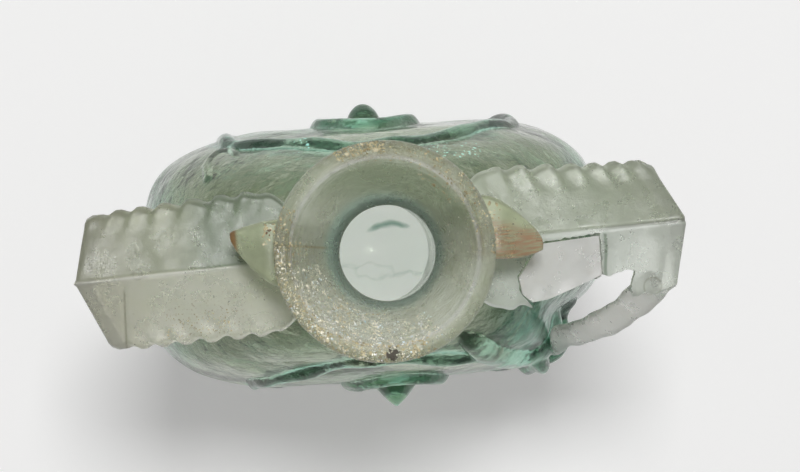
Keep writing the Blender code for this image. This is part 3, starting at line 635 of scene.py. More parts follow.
def handle_corners(tongue_reach, tip_ys, root_ys, edge_drops, far_high):
    half = HANDLE_THICKNESS / 2
    strap_level = RIDGE_LEVEL - half
    neck = NECK_RADIUS + JOINT_GAP
    fold_x = neck + half
    under_rim = FOLD_LEVEL - 2 * JOINT_GAP - TONGUE_THICKNESS / 2
    root_x = mix(neck, FOLD_INNER_RADIUS, 0.75)
    root_level = float(mouth_underside(np.array(mix(neck, FOLD_INNER_RADIUS, 0.55)))) - half
    pad_top = float(flank(0, PAD_TOP_LEVEL, 1)) + JOINT_GAP + half
    pad_end = float(flank(0, PAD_END_LEVEL, 1)) + JOINT_GAP + half
    thick = HANDLE_THICKNESS
    w = HANDLE_HALF_WIDTH
    r = ROOT_HALF_WIDTH
    p = PAD_HALF_WIDTH
    low, high = edge_drops
    return [
        Corner(tongue_reach, HEIGHT - TONGUE_DROP, TONGUE_THICKNESS * 0.7, *tip_ys),
        Corner(RIM_RADIUS, under_rim, TONGUE_THICKNESS, *root_ys),
        Corner(root_x, root_level, TONGUE_THICKNESS, root_ys[0] * 0.95, root_ys[1] * 0.95),
        Corner(fold_x + half / 2, MOUTH_LEVEL - half, thick, -r, r),
        Corner(fold_x, mix(MOUTH_LEVEL, strap_level, 0.6), thick, -r, r),
        Corner(fold_x + half, strap_level, thick, -r, r, low / 6, high / 6),
        Corner(fold_x + half * 6, strap_level, thick, -w, w * 1.04, low / 2, high / 2, True),
        Corner(HANDLE_REACH - half, strap_level, thick, -w, far_high, low, high, True),
        Corner(pad_top, PAD_TOP_LEVEL, thick, -p, p, PAD_RIDGE, PAD_RIDGE),
        Corner(pad_end, PAD_END_LEVEL, thick * 0.55, -p * 0.6, p * 0.6, PAD_RIDGE * 0.8, PAD_RIDGE * 0.8),
    ]


def mitres(corners):
    """For each corner of the path, its mitred outward direction in the XZ plane."""
    ways = [(there.spot - here.spot).normalized() for here, there in zip(corners, corners[1:])]
    normals = [Vector((-way.y, way.x)) for way in ways]
    result = []
    for before, after in zip(normals[:1] + normals, normals + normals[-1:]):
        outward = (before + after).normalized()
        result.append(np.array(outward / max(0.5, outward.dot(before))))
    return result


ROW_PITCH = 0.0007
RIBBON_COLUMNS = 61
EDGE_ROUND = 0.0014  # how far in from its edge the strap begins to round over
CRIMP_FADE = 0.005
FAR_LOBES_SPREAD = 0.006
UNDER_SHARE = 0.35  # how much of the crimped relief shows on the underside
STRAP_SWELL = 0.00022
STRAP_RIPPLE = 0.0001


def crimp(distance):
    phase = distance / CRIMP_PITCH + 0.18 * np.sin(distance / CRIMP_PITCH * 0.9 + 1)
    return np.abs(np.sin(math.pi * phase)) ** 0.8


def fitted(x, y, level, side, cover):
    """Keeps the points of a handle the joint gap, and the glass in between, off the neck, mouth and body."""
    lean = neck_lean(MOUTH_LEVEL)
    neck_x = side * lean[0]
    neck_y = y - lean[1]
    below = level < MOUTH_LEVEL
    distance = np.hypot(x - neck_x, neck_y)
    level = np.where(below, level, np.minimum(level, mouth_underside(distance) - 2 * JOINT_GAP - cover))
    radius = neck_radius(level, 0.0) + 2 * JOINT_GAP + cover
    beside = (np.abs(neck_y) < radius) & (level > BODY_TOP_LEVEL)
    stand = neck_x + np.sqrt(np.clip(radius * radius - neck_y * neck_y, 0, None))
    x = np.where(beside, np.maximum(x, stand), x)
    low = level < BODY_TOP_LEVEL
    clear = flank(y, np.where(low, level, BODY_TOP_LEVEL), side) + 1.3 * JOINT_GAP + cover
    x = np.where(low, np.maximum(x, clear), x)
    return x, level


def ribbon_rows(corners):
    """For each cross-section: stretch of the path, share of it, distance so far, length of the stretch."""
    rows = []
    travelled = 0.0
    last = len(corners) - 2
    for index in range(last + 1):
        length = (corners[index + 1].spot - corners[index].spot).length
        steps = max(2, round(length / ROW_PITCH))
        for step in range(steps + (index == last)):
            rows.append((index, step / steps, travelled + length * step / steps, length))
        travelled += length
    return rows


def ribbon_section(corners, outwards, row, column, sign, side):
    """One skin of one cross-section, the outer or the under one, as points across the strap."""
    index, share, distance, length = row
    here, there = corners[index], corners[index + 1]
    aside = np.abs(column)
    lower = column < 0
    ridge = np.sqrt(column * column + 0.0001) - 0.01
    ends = []
    widths = []
    for corner, outward in ((here, outwards[index]), (there, outwards[index + 1])):
        drop = np.where(lower, corner.drop_low, corner.drop_high) * ridge
        inward = (1 - aside) * (corner.y_high - corner.y_low) / 2
        round_over = np.sqrt(np.clip(1 - (1 - np.clip(inward / EDGE_ROUND, 0, 1)) ** 2, 0.02, 1))
        offset = sign * corner.thickness / 2 * round_over - drop
        ends.append(np.array(corner.spot)[None, :] + outward[None, :] * offset[:, None])
        middle = (corner.y_low + corner.y_high) / 2 if corner.drop_low == 0 else 0.0
        edge = np.where(lower, corner.y_low, corner.y_high)
        widths.append(middle + aside * (edge - middle))
    spot = mix(*ends, share)
    on_tongue = index == 0
    y = mix(*widths, share ** TONGUE_CURVE if on_tongue else share)
    if on_tongue and side > 0:
        tooth = JAG_DEPTH * ((distance / JAG_PITCH) % 1.0) * math.sin(math.pi * share)
        y = y - tooth * smoothstep((-column - 0.3) / 0.7)
    fade = here.crimped * min(1.0, share * length / CRIMP_FADE) * min(1.0, (1 - share) * length / CRIMP_FADE)
    near_edge = np.clip((aside - 0.72) / 0.28, 0, 1)
    bold = 1 + FAR_LOBES * bump(spot[:, 0], FAR_LOBES_X, FAR_LOBES_SPREAD) * (column > 0) * (side > 0)
    y = y + np.sign(column) * CRIMP_DEPTH * bold * (2 * crimp(distance) - 1) * fade * near_edge
    slanted = crimp(distance - FURROW_LEAN * (1 - aside))
    furrow = FURROW_DEPTH * (1 - slanted) ** 2 * smoothstep((aside - 0.42) / 0.5)
    furrow = np.where(lower, furrow * LOWER_FURROW_SHARE, furrow)
    pinch = CRIMP_DEPTH * np.where(lower, 0.3, 0.6) * slanted * near_edge - furrow
    lift = pinch * fade * (1.0 if sign > 0 else UNDER_SHARE)
    if sign > 0 and here.drop_low > 0:
        lift = lift - side * RIDGE_BEAD_HEIGHT * np.exp(-((y / RIDGE_BEAD_HALF_WIDTH) ** 2))
    if sign > 0 and on_tongue:
        lift = lift + TONGUE_RIM_HEIGHT * bump(aside, 0.80, 0.13) * min(1.0, share * 6)
    spot = spot + outwards[index + 1][None, :] * lift[:, None]
    return np.stack([spot[:, 0], y, spot[:, 1]], axis=-1)


def ribbon_mesh(name, corners, side, seed):
    """The whole strap as one closed skin of rounded cross-sections."""
    outwards = mitres(corners)
    column = np.linspace(-1, 1, RIBBON_COLUMNS)
    column = np.sign(column) * (0.35 * np.abs(column) + 0.65 * np.abs(column) ** 1.5)
    rows = ribbon_rows(corners)
    tops, unders = (
        soften(np.array([ribbon_section(corners, outwards, row, column, sign, side) for row in rows]), rows)
        for sign in (1, -1)
    )
    flat = tops.reshape(-1, 3)
    swell = STRAP_SWELL * waves(flat, seed, 8, 0.016) + STRAP_RIPPLE * waves(flat, seed + 1, 8, 0.006)
    tops[:, :, 2] += swell.reshape(tops.shape[:2]) * (1 - np.abs(column) ** 6)
    if side < 0:
        for x_ridge, x_edge, half_width, depth in CREASES:
            share = np.clip(-tops[:, :, 1] / HANDLE_HALF_WIDTH, 0, 1)
            away = (-tops[:, :, 0] - mix(x_ridge, x_edge, share)) / half_width
            on_half = smoothstep((share - 0.04) / 0.08) * smoothstep((1.05 - share) / 0.2)
            tops[:, :, 2] -= depth * np.exp(-(away**2)) * on_half
    thickness = np.array([mix(corners[i].thickness, corners[i + 1].thickness, s) for i, s, _, _ in rows])
    skins = []
    for skin, cover in ((tops, thickness[:, None] * 0.9), (unders, 0.0)):
        x, level = fitted(*np.moveaxis(skin, 2, 0), side, np.broadcast_to(cover, skin.shape[:2]))
        skins.append(np.stack([side * x, skin[:, :, 1] + FLASK_Y, level], axis=-1))
    loop = np.concatenate([skins[0], skins[1][:, ::-1]], axis=1)
    count, around = loop.shape[:2]
    faces = tube_faces(count, around)
    faces.append(tuple(range(around)))
    faces.append(tuple(reversed(range((count - 1) * around, count * around))))
    if side > 0:
        faces = [tuple(reversed(face)) for face in faces]
    return new_mesh(name, loop.reshape(-1, 3), faces, bmesh.ops.recalc_face_normals, bmesh.ops.triangulate)


def soften(spots, rows):
    """Rounds the path's corners a little: more at the hot fold by the neck than at the sharp bend."""
    result = spots.copy()
    for row in range(1, len(rows) - 1):
        wanted = 4 if rows[row][0] < 5 else 2
        span = min(wanted, row, len(rows) - 1 - row)
        result[row] = spots[row - span:row + span + 1].mean(axis=0)
    return result


def boolean(mesh, cutter, operation):
    """One mesh cut by, joined to or kept inside another, as a new mesh."""
    target = bpy.data.objects.new("target", mesh)
    tool = bpy.data.objects.new("tool", cutter)
    for thing in (target, tool):
        scene.collection.objects.link(thing)
    modifier = target.modifiers.new("boolean", "BOOLEAN")
    modifier.operation = operation
    modifier.object = tool
    modifier.solver = "EXACT"
    evaluated = target.evaluated_get(bpy.context.evaluated_depsgraph_get())
    result = bpy.data.meshes.new_from_object(evaluated)
    for thing in (target, tool):
        bpy.data.objects.remove(thing, do_unlink=True)
    return result


# The break in the right handle, in shares of the handle's reach and of its half width.
NEAR_BREAK = ((0.521, -0.11), (0.481, -0.275), (0.429, -0.57), (0.436, -0.82), (0.47, -1.02))
FAR_BREAK = ((0.800, -0.90), (0.817, -0.67), (0.782, -0.64), (0.733, -0.71), (0.711, -0.675), (0.711, -0.06))
FILL_EDGE = ((0.711, -0.675), (0.62, -0.82), (0.53, -0.95), (0.475, -0.97))
UPRIGHT_BREAK = ((0.86, -1.5), (0.87, -0.80), (0.84, -0.42), (0.77, -0.14), (0.55, -0.10), (0.30, -0.17),
                 (0.14, -0.28), (0.05, -0.60), (0.03, -1.5))
BREAK_STEP = 0.0009


def broken_line(outline, seed, depth):
    """An outline divided finely and shifted in small steps, as a fracture runs."""
    rng = np.random.default_rng(seed)
    points = []
    count = len(outline)
    for index in range(count):
        start = np.array(outline[index])
        end = np.array(outline[(index + 1) % count])
        steps = max(1, int(np.linalg.norm(end - start) / BREAK_STEP))
        for step in range(steps):
            here = mix(start, end, step / steps)
            points.append(here + rng.normal(size=2) * depth * (0.3 + 0.7 * (step > 0)))
    return points


def prism_mesh(name, outline, low, high, plane):
    area = sum(a[0] * b[1] - b[0] * a[1] for a, b in zip(outline, outline[1:] + outline[:1]))
    if area < 0:
        outline = list(reversed(outline))
    count = len(outline)
    points = []
    for depth in (low, high):
        for u, v in outline:
            points.append((u, v, depth) if plane == "Z" else (depth, u, v))
    faces = [tuple(reversed(range(count))), tuple(range(count, 2 * count))]
    for corner in range(count):
        after = (corner + 1) % count
        faces.append((corner, after, count + after, count + corner))
    return new_mesh(name, points, faces, bmesh.ops.triangulate)


def strap_plan(shares, shift=(0.0, 0.0)):
    return [(HANDLE_REACH * u + shift[0], HANDLE_HALF_WIDTH * v + shift[1] + FLASK_Y) for u, v in shares]


def face_point(along, level, face):
    """The point of a broad face at one distance along it."""
    low, high = 0.0, math.pi
    for _ in range(40):
        middle = (low + high) / 2
        if reach(np.array(face * middle), np.array(level)) * math.cos(middle) > along:
            low = middle
        else:
            high = middle
    return surface(face * low, level)


def strip_mesh():
    """The thin strip that is left of one half of the upright, flat, and slimmer where it meets the body."""
    across = np.array([math.cos(STRIP_TURN), math.sin(STRIP_TURN), 0])
    stand_off = across * (STRIP_HALF_WIDTH + 2 * JOINT_GAP)
    top_x, top_y = strap_plan([STRIP_TOP])[0]
    top = np.array([top_x, top_y, RIDGE_LEVEL - HANDLE_THICKNESS * 1.4])
    foot_x = BODY_HALF_WIDTH * STRIP_FOOT_SHARE
    foot_top = face_point(foot_x, STRIP_FOOT_LEVEL + STRIP_FOOT_LENGTH, -1) + stand_off
    path = []
    for share in np.linspace(0, 1, 60)[:-1]:
        bow = STRIP_BOW * math.sin(math.pi * share)
        path.append(mix(top, foot_top, share) + np.array([bow * 0.5, -bow, 0]))
    for share in np.linspace(1, 0, 12):
        level = STRIP_FOOT_LEVEL + STRIP_FOOT_LENGTH * share
        path.append(face_point(foot_x, level, -1) + stand_off)
    sides = 28
    points = []
    path = np.array(path)
    for _ in range(3):
        path[1:-1] = (path[:-2] + path[1:-1] * 2 + path[2:]) / 4
    for index, point in enumerate(path):
        tangent = path[min(index + 1, len(path) - 1)] - path[max(index - 1, 0)]
        thick = np.cross(across, tangent / np.linalg.norm(tangent))
        thick /= np.linalg.norm(thick)
        end = max(0.0, (index - len(path) + 1 + STRIP_END_ROWS) / STRIP_END_ROWS)
        blunt = math.sqrt(max(0.04, 1 - end**4))
        slim = mix(1.0, STRIP_END_SHARE, smoothstep(end)) * blunt
        uneven = 1.06 - 0.06 * math.cos(index * 0.28) - 0.03 * math.cos(index * 0.61)
        half_width = STRIP_HALF_WIDTH * uneven * slim
        point = point - across * STRIP_HALF_WIDTH * (1 - slim)
        for corner in range(sides):
            angle = 2 * math.pi * (corner + 0.5) / sides
            u = math.copysign(abs(math.cos(angle)) ** 0.6, math.cos(angle))
            v = math.copysign(abs(math.sin(angle)) ** 0.8, math.sin(angle))
            points.append(point + across * half_width * u + thick * STRIP_THICKNESS / 2 * v * blunt)
    faces = tube_faces(len(path), sides)
    faces.append(tuple(reversed(range(sides))))
    faces.append(tuple(range((len(path) - 1) * sides, len(path) * sides)))
    return new_mesh("strip", points, faces, bmesh.ops.recalc_face_normals)


STRAP_LOW = RIDGE_LEVEL - HANDLE_RIDGE - 2 * HANDLE_THICKNESS
STRAP_HIGH = RIDGE_LEVEL + HANDLE_THICKNESS


def make_left_handle(material):
    corners = handle_corners(*LEFT_TONGUE, LEFT_EDGE_DROPS, LEFT_FAR_HALF_WIDTH)
    mesh = ribbon_mesh("glass_left_handle", corners, side=-1, seed=31)
    return finish_piece("glass_left_handle", mesh, material, SMOOTH_UP_TO, "left_handle")


def make_right_handle(material, fill_material):
    corners = handle_corners(*RIGHT_TONGUE, RIGHT_EDGE_DROPS, RIGHT_FAR_HALF_WIDTH)
    ribbon = ribbon_mesh("glass_right_handle", corners, side=1, seed=41)
    outside = -1.5
    notch = list(NEAR_BREAK) + [(NEAR_BREAK[-1][0], outside), (FAR_BREAK[0][0], outside)] + list(FAR_BREAK)
    plan = broken_line(strap_plan(notch), seed=5, depth=0.00012)
    whole = ribbon.copy()
    mesh = boolean(ribbon, prism_mesh("notch", plan, STRAP_LOW, STRAP_HIGH, "Z"), "DIFFERENCE")
    half = HANDLE_HALF_WIDTH
    upright = [(half * v + FLASK_Y, mix(PAD_TOP_LEVEL, RIDGE_LEVEL, u)) for u, v in UPRIGHT_BREAK]
    plan = broken_line(upright, seed=6, depth=0.0002)
    cutter = prism_mesh("upright", plan, HANDLE_REACH * 0.6, HANDLE_REACH * 1.1, "X")
    mesh = boolean(mesh, cutter, "DIFFERENCE")
    mesh = boolean(mesh, strip_mesh(), "UNION")
    handle = finish_piece("glass_right_handle", mesh, material, SMOOTH_BESIDE_BREAKS, "right_handle")
    outline = strap_plan(NEAR_BREAK[:-1], (JOINT_GAP * 1.3, -JOINT_GAP))
    outline += list(reversed(strap_plan(FILL_EDGE, (-JOINT_GAP, 0.0))))
    outline += strap_plan(FAR_BREAK[-1:], (-JOINT_GAP, -2 * JOINT_GAP))
    pane = boolean(whole, prism_mesh("pane", outline, STRAP_LOW, STRAP_HIGH, "Z"), "INTERSECT")
    fill = finish_piece("clear_pane", pane, fill_material, SMOOTH_BESIDE_BREAKS, "handle_fill")
    return handle, fill


# Soil and flakes that cling to the glass.

class Zone(NamedTuple):
    """Where crumbs lie: from the rim's middle by angle and radius, or from the flask's axis by X and Y."""
    first: tuple
    second: tuple
    count: int
    size: float
    polar: bool = True


LUMP_SIZE = 0.45  # of a zone's size, to the middle of a lump's skin
SOIL = (
    Zone((84, 112), (0.0222, 0.0252), 170, 0.00042),
    Zone((60, 100), (0.0205, 0.0240), 60, 0.00030),
    Zone((28, 62), (0.0185, 0.0250), 130, 0.00036),
    Zone((4, 30), (0.0208, 0.0242), 60, 0.00030),
    Zone((150, 200), (0.0212, 0.0251), 190, 0.00036),
    Zone((200, 240), (0.0214, 0.0250), 210, 0.00036),
    Zone((240, 292), (0.0210, 0.0250), 260, 0.00038),
    Zone((205, 270), (0.0135, 0.0210), 150, 0.00024),
    Zone((263, 271), (0.0224, 0.0238), 26, 0.00080),
    Zone((168, 177), (0.0175, 0.0215), 26, 0.00034),
    Zone((-0.0128, -0.0090), (-0.0185, -0.0105), 70, 0.00030, False),
    Zone((-0.0270, -0.0236), (0.0040, 0.0090), 46, 0.00046, False),
    Zone((0.0236, 0.0272), (-0.0030, 0.0100), 60, 0.00040, False),
    Zone((-0.0525, -0.0370), (-0.0152, -0.0095), 150, 0.00026, False),
)
# The flakes are weathering film, coloured bright as painted glints.
FLAKES = (
    Zone((185, 262), (0.0145, 0.0222), 720, 0.00027),
    Zone((255, 300), (0.0160, 0.0225), 380, 0.00025),
    Zone((170, 285), (0.0224, 0.0246), 380, 0.00026),
    Zone((330, 380), (0.0150, 0.0205), 60, 0.00020),
    Zone((0.0130, 0.0290), (0.0215, 0.0262), 70, 0.00050, False),
    Zone((-0.0190, -0.0140), (0.0275, 0.0315), 12, 0.00050, False),
    Zone((0.0060, 0.0100), (0.0295, 0.0320), 8, 0.00050, False),
)
DARK_SPOTS = (  # middle, radius, colour: one at the mouth's lower edge, one by the left tongue
    ((-0.0004, -0.0230), 0.0016, (0.10, 0.09, 0.07)),
    ((-0.0254, 0.0070), 0.0007, (0.16, 0.09, 0.05)),
)
# Painted glints: flakes within these spots take a bright turquoise.
GLINTS = (
    ((0.0210, 0.0245), 0.0090, (0.58, 0.95, 0.82)),
    ((-0.0165, 0.0295), 0.0040, (0.50, 0.92, 0.84)),
)
SOIL_COLOURS = ((0.33, 0.27, 0.15), (0.56, 0.49, 0.30), (0.76, 0.70, 0.49))
FILM_AND_GLINT_COLOURS = ((1.0, 1.0, 1.0), (1.0, 0.95, 0.78), (0.82, 0.95, 1.0))


def lump_shape():
    """A crumb's twelve points and twenty faces: a top, two rings of five, and a bottom."""
    rings = []
    for level, start in ((1, 0), (-1, 36)):
        for step in range(5):
            angle = math.radians(start + 72 * step)
            rings.append((0.8944 * math.cos(angle), 0.8944 * math.sin(angle), 0.4472 * level))
    faces = []
    for here in range(5):
        after = (here + 1) % 5
        faces += [(0, here + 1, after + 1), (here + 1, here + 6, after + 1)]
        faces += [(here + 6, after + 6, after + 1), (11, after + 6, here + 6)]
    return np.round([(0, 0, 1), *rings, (0, 0, -1)], 3), faces


def scatter(name, zones, pieces, material, flatness, seed):
    """Small flattened lumps, laid on whatever glass lies highest in each zone."""
    rng = np.random.default_rng(seed)
    trees = []
    for mesh in (piece.data for piece in pieces):
        corners = [vertex.co for vertex in mesh.vertices]
        trees.append(BVHTree.FromPolygons(corners, [face.vertices for face in mesh.polygons]))
    up = Vector((0, 0, 1))
    shape, shape_faces = lump_shape()
    points = []
    faces = []
    for zone in zones:
        for _ in range(zone.count):
            x = rng.uniform(*zone.first)
            y = rng.uniform(*zone.second)
            if zone.polar:
                x, y = y * math.cos(math.radians(x)), y * math.sin(math.radians(x))
            hits = [tree.ray_cast(Vector((x, y + FLASK_Y, HEIGHT + 0.01)), -up) for tree in trees]
            hits = [hit for hit in hits if hit[0] is not None]
            if not hits:
                continue
            place, normal = max(hits, key=lambda hit: hit[0].z)[:2]
            size = zone.size * LUMP_SIZE * rng.lognormal(0, 0.4)
            lump = shape * rng.uniform(0.6, 1.25, (len(shape), 1)) * (rng.uniform(0.7, 1.5), 1, flatness)
            turn = up.rotation_difference(normal).to_matrix() @ Matrix.Rotation(rng.uniform(0, 6.3), 3, "Z")
            first = len(points)
            points.extend((np.array(turn) @ lump.T).T * size + np.array(place))
            faces.extend(tuple(first + corner for corner in face) for face in shape_faces)
    return finish_piece(name, new_mesh(name, points, faces), material, SMOOTH_LUMPS)


# The looks.

BODY_TINT = (0.48, 0.75, 0.58)
MOUTH_TINT = (0.62, 0.75, 0.52)
HANDLE_TINT = (0.74, 0.78, 0.64)
PANE_TINT = (0.92, 0.92, 0.88)
GLASS_IOR = 1.5
PONTIL_MIDDLE = (0.0068, -0.0010)
PONTIL_RADIUS = 0.0093
CRACK_X = 0.0520
CREASE_X = -0.0606
BUBBLE = (-0.0100, 0.0183)
BUBBLE_RADIUS = 0.00045
STRAP_RINGS = (((-0.0573, 0.0006), 0.0011), ((0.0626, -0.0148), 0.0021))
GROOVES_PER_METRE = 3000
STREAK_STRETCH = (260, 2400)


class Look:
    """A Principled material: see-through, with a plain tint in its volume, painted in layers of colour."""

    def __init__(self, name, tint=(1, 1, 1), density=0, transmission=0.0):
        self.material = bpy.data.materials.new(name)
        self.material.use_nodes = True
        self.tree = self.material.node_tree
        self.shader = self.tree.nodes["Principled BSDF"]
        self.put(self.shader, "IOR", GLASS_IOR)
        self.put(self.shader, "Transmission Weight", transmission)
        self.place = self.node("ShaderNodeTexCoord", "Object", {})
        axes = self.node("ShaderNodeSeparateXYZ", "X", {"Vector": self.place}).node.outputs
        self.x = axes["X"]
        self.y = self.math("SUBTRACT", axes["Y"], FLASK_Y)
        self.level = axes["Z"]
        self.aside = self.size(self.x)
        self.off = self.size(self.y)
        self.radius = self.distance(self.x, self.y)
        self.base = None
        if density:
            volume = self.node("ShaderNodeVolumeAbsorption", "Volume", {"Color": tint, "Density": density})
            self.put(self.tree.nodes["Material Output"], "Volume", volume)

    def put(self, node, name, value):
        """Links another node's output to an input, or sets it to a number or a colour."""
        socket = node.inputs[name]
        if isinstance(value, bpy.types.NodeSocket):
            self.tree.links.new(value, socket)
        elif isinstance(value, tuple):
            socket.default_value = (*value, 1)
        else:
            socket.default_value = value

    def node(self, kind, output, inputs, **settings):
        node = self.tree.nodes.new(kind)
        for name, value in settings.items():
            setattr(node, name, value)
        for name, value in inputs.items():
            self.put(node, name, value)
        return node.outputs[output]

    def noise(self, scale, detail, roughness=0.5, at=None):
        """Noise over the object, with its scale in features per metre."""
        settings = {"Vector": at or self.place, "Scale": scale, "Detail": detail, "Roughness": roughness}
        return self.node("ShaderNodeTexNoise", "Fac", settings)

    def ramp(self, value, low, high, start=0.0, end=1.0):
        """Goes smoothly from start to end as the value goes from low to high."""
        settings = {"Value": value, "From Min": low, "From Max": high, "To Min": start, "To Max": end}
        return self.node("ShaderNodeMapRange", "Result", settings, interpolation_type="SMOOTHSTEP")

    def patches(self, scale, detail, roughness, low, high, start=0.0, end=1.0):
        return self.ramp(self.noise(scale, detail, roughness), low, high, start, end)

    def math(self, operation, first, second=0.0):
        return self.node("ShaderNodeMath", "Value", {0: first, 1: second}, operation=operation)

    def many(self, operation, first, *others):
        for other in others:
            first = self.math(operation, first, other)
        return first

    def times(self, *values):
        return self.many("MULTIPLY", *values)

    def most(self, *values):
        return self.many("MAXIMUM", *values)

    def size(self, value):
        return self.math("ABSOLUTE", value)

    def slant(self, along_x, along_y):
        """How far each point lies in a level direction."""
        return self.math("ADD", self.times(self.x, along_x), self.times(self.y, along_y))

    def distance(self, x, y, middle=(0.0, 0.0)):
        """How far each point lies from an upright line."""
        x = self.math("SUBTRACT", x, middle[0])
        y = self.math("SUBTRACT", y, middle[1])
        return self.math("SQRT", self.math("ADD", self.times(x, x), self.times(y, y)))

    def band(self, value, middle, half_width, soft):
        """1 within a band of values, 0 well outside it."""
        away = self.size(self.math("SUBTRACT", value, middle))
        return self.ramp(away, half_width + soft, half_width)

    def stretched(self, x, y, z):
        """Fine noise that is drawn out along one direction."""
        at = self.node("ShaderNodeCombineXYZ", "Vector", {"X": x, "Y": y, "Z": z})
        return self.noise(1.0, 4, 0.65, at=at)

    def colour(self, share, first, second):
        """A colour that goes from the first to the second as the share goes from 0 to 1."""
        return self.node("ShaderNodeMix", 2, {0: share, 6: first, 7: second}, data_type="RGBA")

    def zone(self, *shares, **limits):
        """The product of shares and of ramps along x, y, level, aside, off or radius."""
        ramps = [self.ramp(getattr(self, axis), *span) for axis, span in limits.items()]
        return self.times(*shares, *ramps)

    def paint(self, colour, *shares, **limits):
        """Lays a colour over the base within a zone."""
        self.base = self.colour(self.zone(*shares, **limits), self.base, colour)

    def finish(self, roughness, *reliefs):
        """Sets the painted colour, the roughness, and fine reliefs that are each a height and a distance."""
        self.put(self.shader, "Base Color", self.base)
        self.put(self.shader, "Roughness", roughness)
        normal = None
        for height, distance in reliefs:
            relief = self.node("ShaderNodeBump", "Normal", {"Height": height, "Distance": distance})
            if normal:
                self.put(relief.node, "Normal", normal)
            normal = relief
        if normal:
            self.put(self.shader, "Normal", normal)
        return self.material


def blue_green_glass():
    """The body's clear glass: a little cloudy, deeper where it is thick, with a skin of fine ripples."""
    glass = Look("blue_green_glass", tint=BODY_TINT, density=62, transmission=0.95)
    x, y, level = glass.x, glass.y, glass.level
    glass.base = glass.colour(glass.patches(70, 6, 0.62, 0.35, 0.72), (0.66, 0.69, 0.55), (0.50, 0.54, 0.41))
    # The dented corner, with a thin brown line over it.
    glass.paint((0.25, 0.50, 0.41), x=(0.020, 0.040), y=(-0.008, -0.021), level=(0.055, 0.080))
    line = glass.band(glass.slant(0.770, -0.638), 0.0410, 0.00005, 0.0003)
    glass.paint((0.46, 0.38, 0.24), line, y=(-0.016, -0.018), level=(0.080, 0.092, 0.0, 0.6))
    # The flanks, and the trails and knobs on the broad faces.
    glass.paint((0.44, 0.68, 0.56), aside=(0.048, 0.060, 0.0, 0.7))
    thick = glass.most(glass.zone(off=(0.0325, 0.0352, 0.0, 0.45)), glass.zone(off=(0.0362, 0.0385)))
    middle = glass.zone(y=(-0.001, 0.001, TRAIL_CENTRE_X[-1], TRAIL_CENTRE_X[1]))
    from_middle = glass.distance(glass.math("SUBTRACT", x, middle), level, (0.0, TRAIL_LEVEL))
    trails = glass.most(glass.band(from_middle, OUTER_TRAIL_RADIUS, 0.0026, 0.0012),
                        glass.band(from_middle, INNER_TRAIL_RADIUS, 0.0022, 0.0010))
    glass.paint((0.44, 0.72, 0.61), glass.most(thick, glass.zone(trails, off=(0.010, 0.016))))
    glass.paint((0.55, 0.55, 0.44), glass.patches(420, 5, 0.7, 0.62, 0.72))
    glass.paint((0.90, 1.0, 0.92), level=(0.158, 0.172))
    body = glass.base
    # The foot, as it shows through the mouth: a faint wavy line and the arc by the pontil's scar.
    wavy = glass.math("ADD", y, glass.patches(90, 2, 0.5, 0.3, 0.7, -0.003, 0.003))
    line = glass.times(glass.band(wavy, -0.0050, 0.0001, 0.0010), 0.35)
    glass.base = glass.colour(line, (1.0, 0.96, 0.96), (0.55, 0.62, 0.58))
    uneven = glass.patches(300, 2, 0.5, 0.3, 0.7, -0.0002, 0.0002)
    from_scar = glass.math("ADD", glass.distance(x, y, PONTIL_MIDDLE), uneven)
    upper = (PONTIL_MIDDLE[1] + PONTIL_RADIUS * 0.75, PONTIL_MIDDLE[1] + PONTIL_RADIUS * 0.9)
    glass.paint((0.36, 0.47, 0.42), glass.band(from_scar, PONTIL_RADIUS, 0.0001, 0.0013), y=upper)
    glass.paint(body, level=(0.008, 0.022))
    rough = glass.patches(110, 5, 0.6, 0.4, 0.72, 0.05, 0.22)
    return glass.finish(rough, (glass.noise(130, 3), 0.0009), (glass.noise(1100, 3, 0.6), 0.00005))


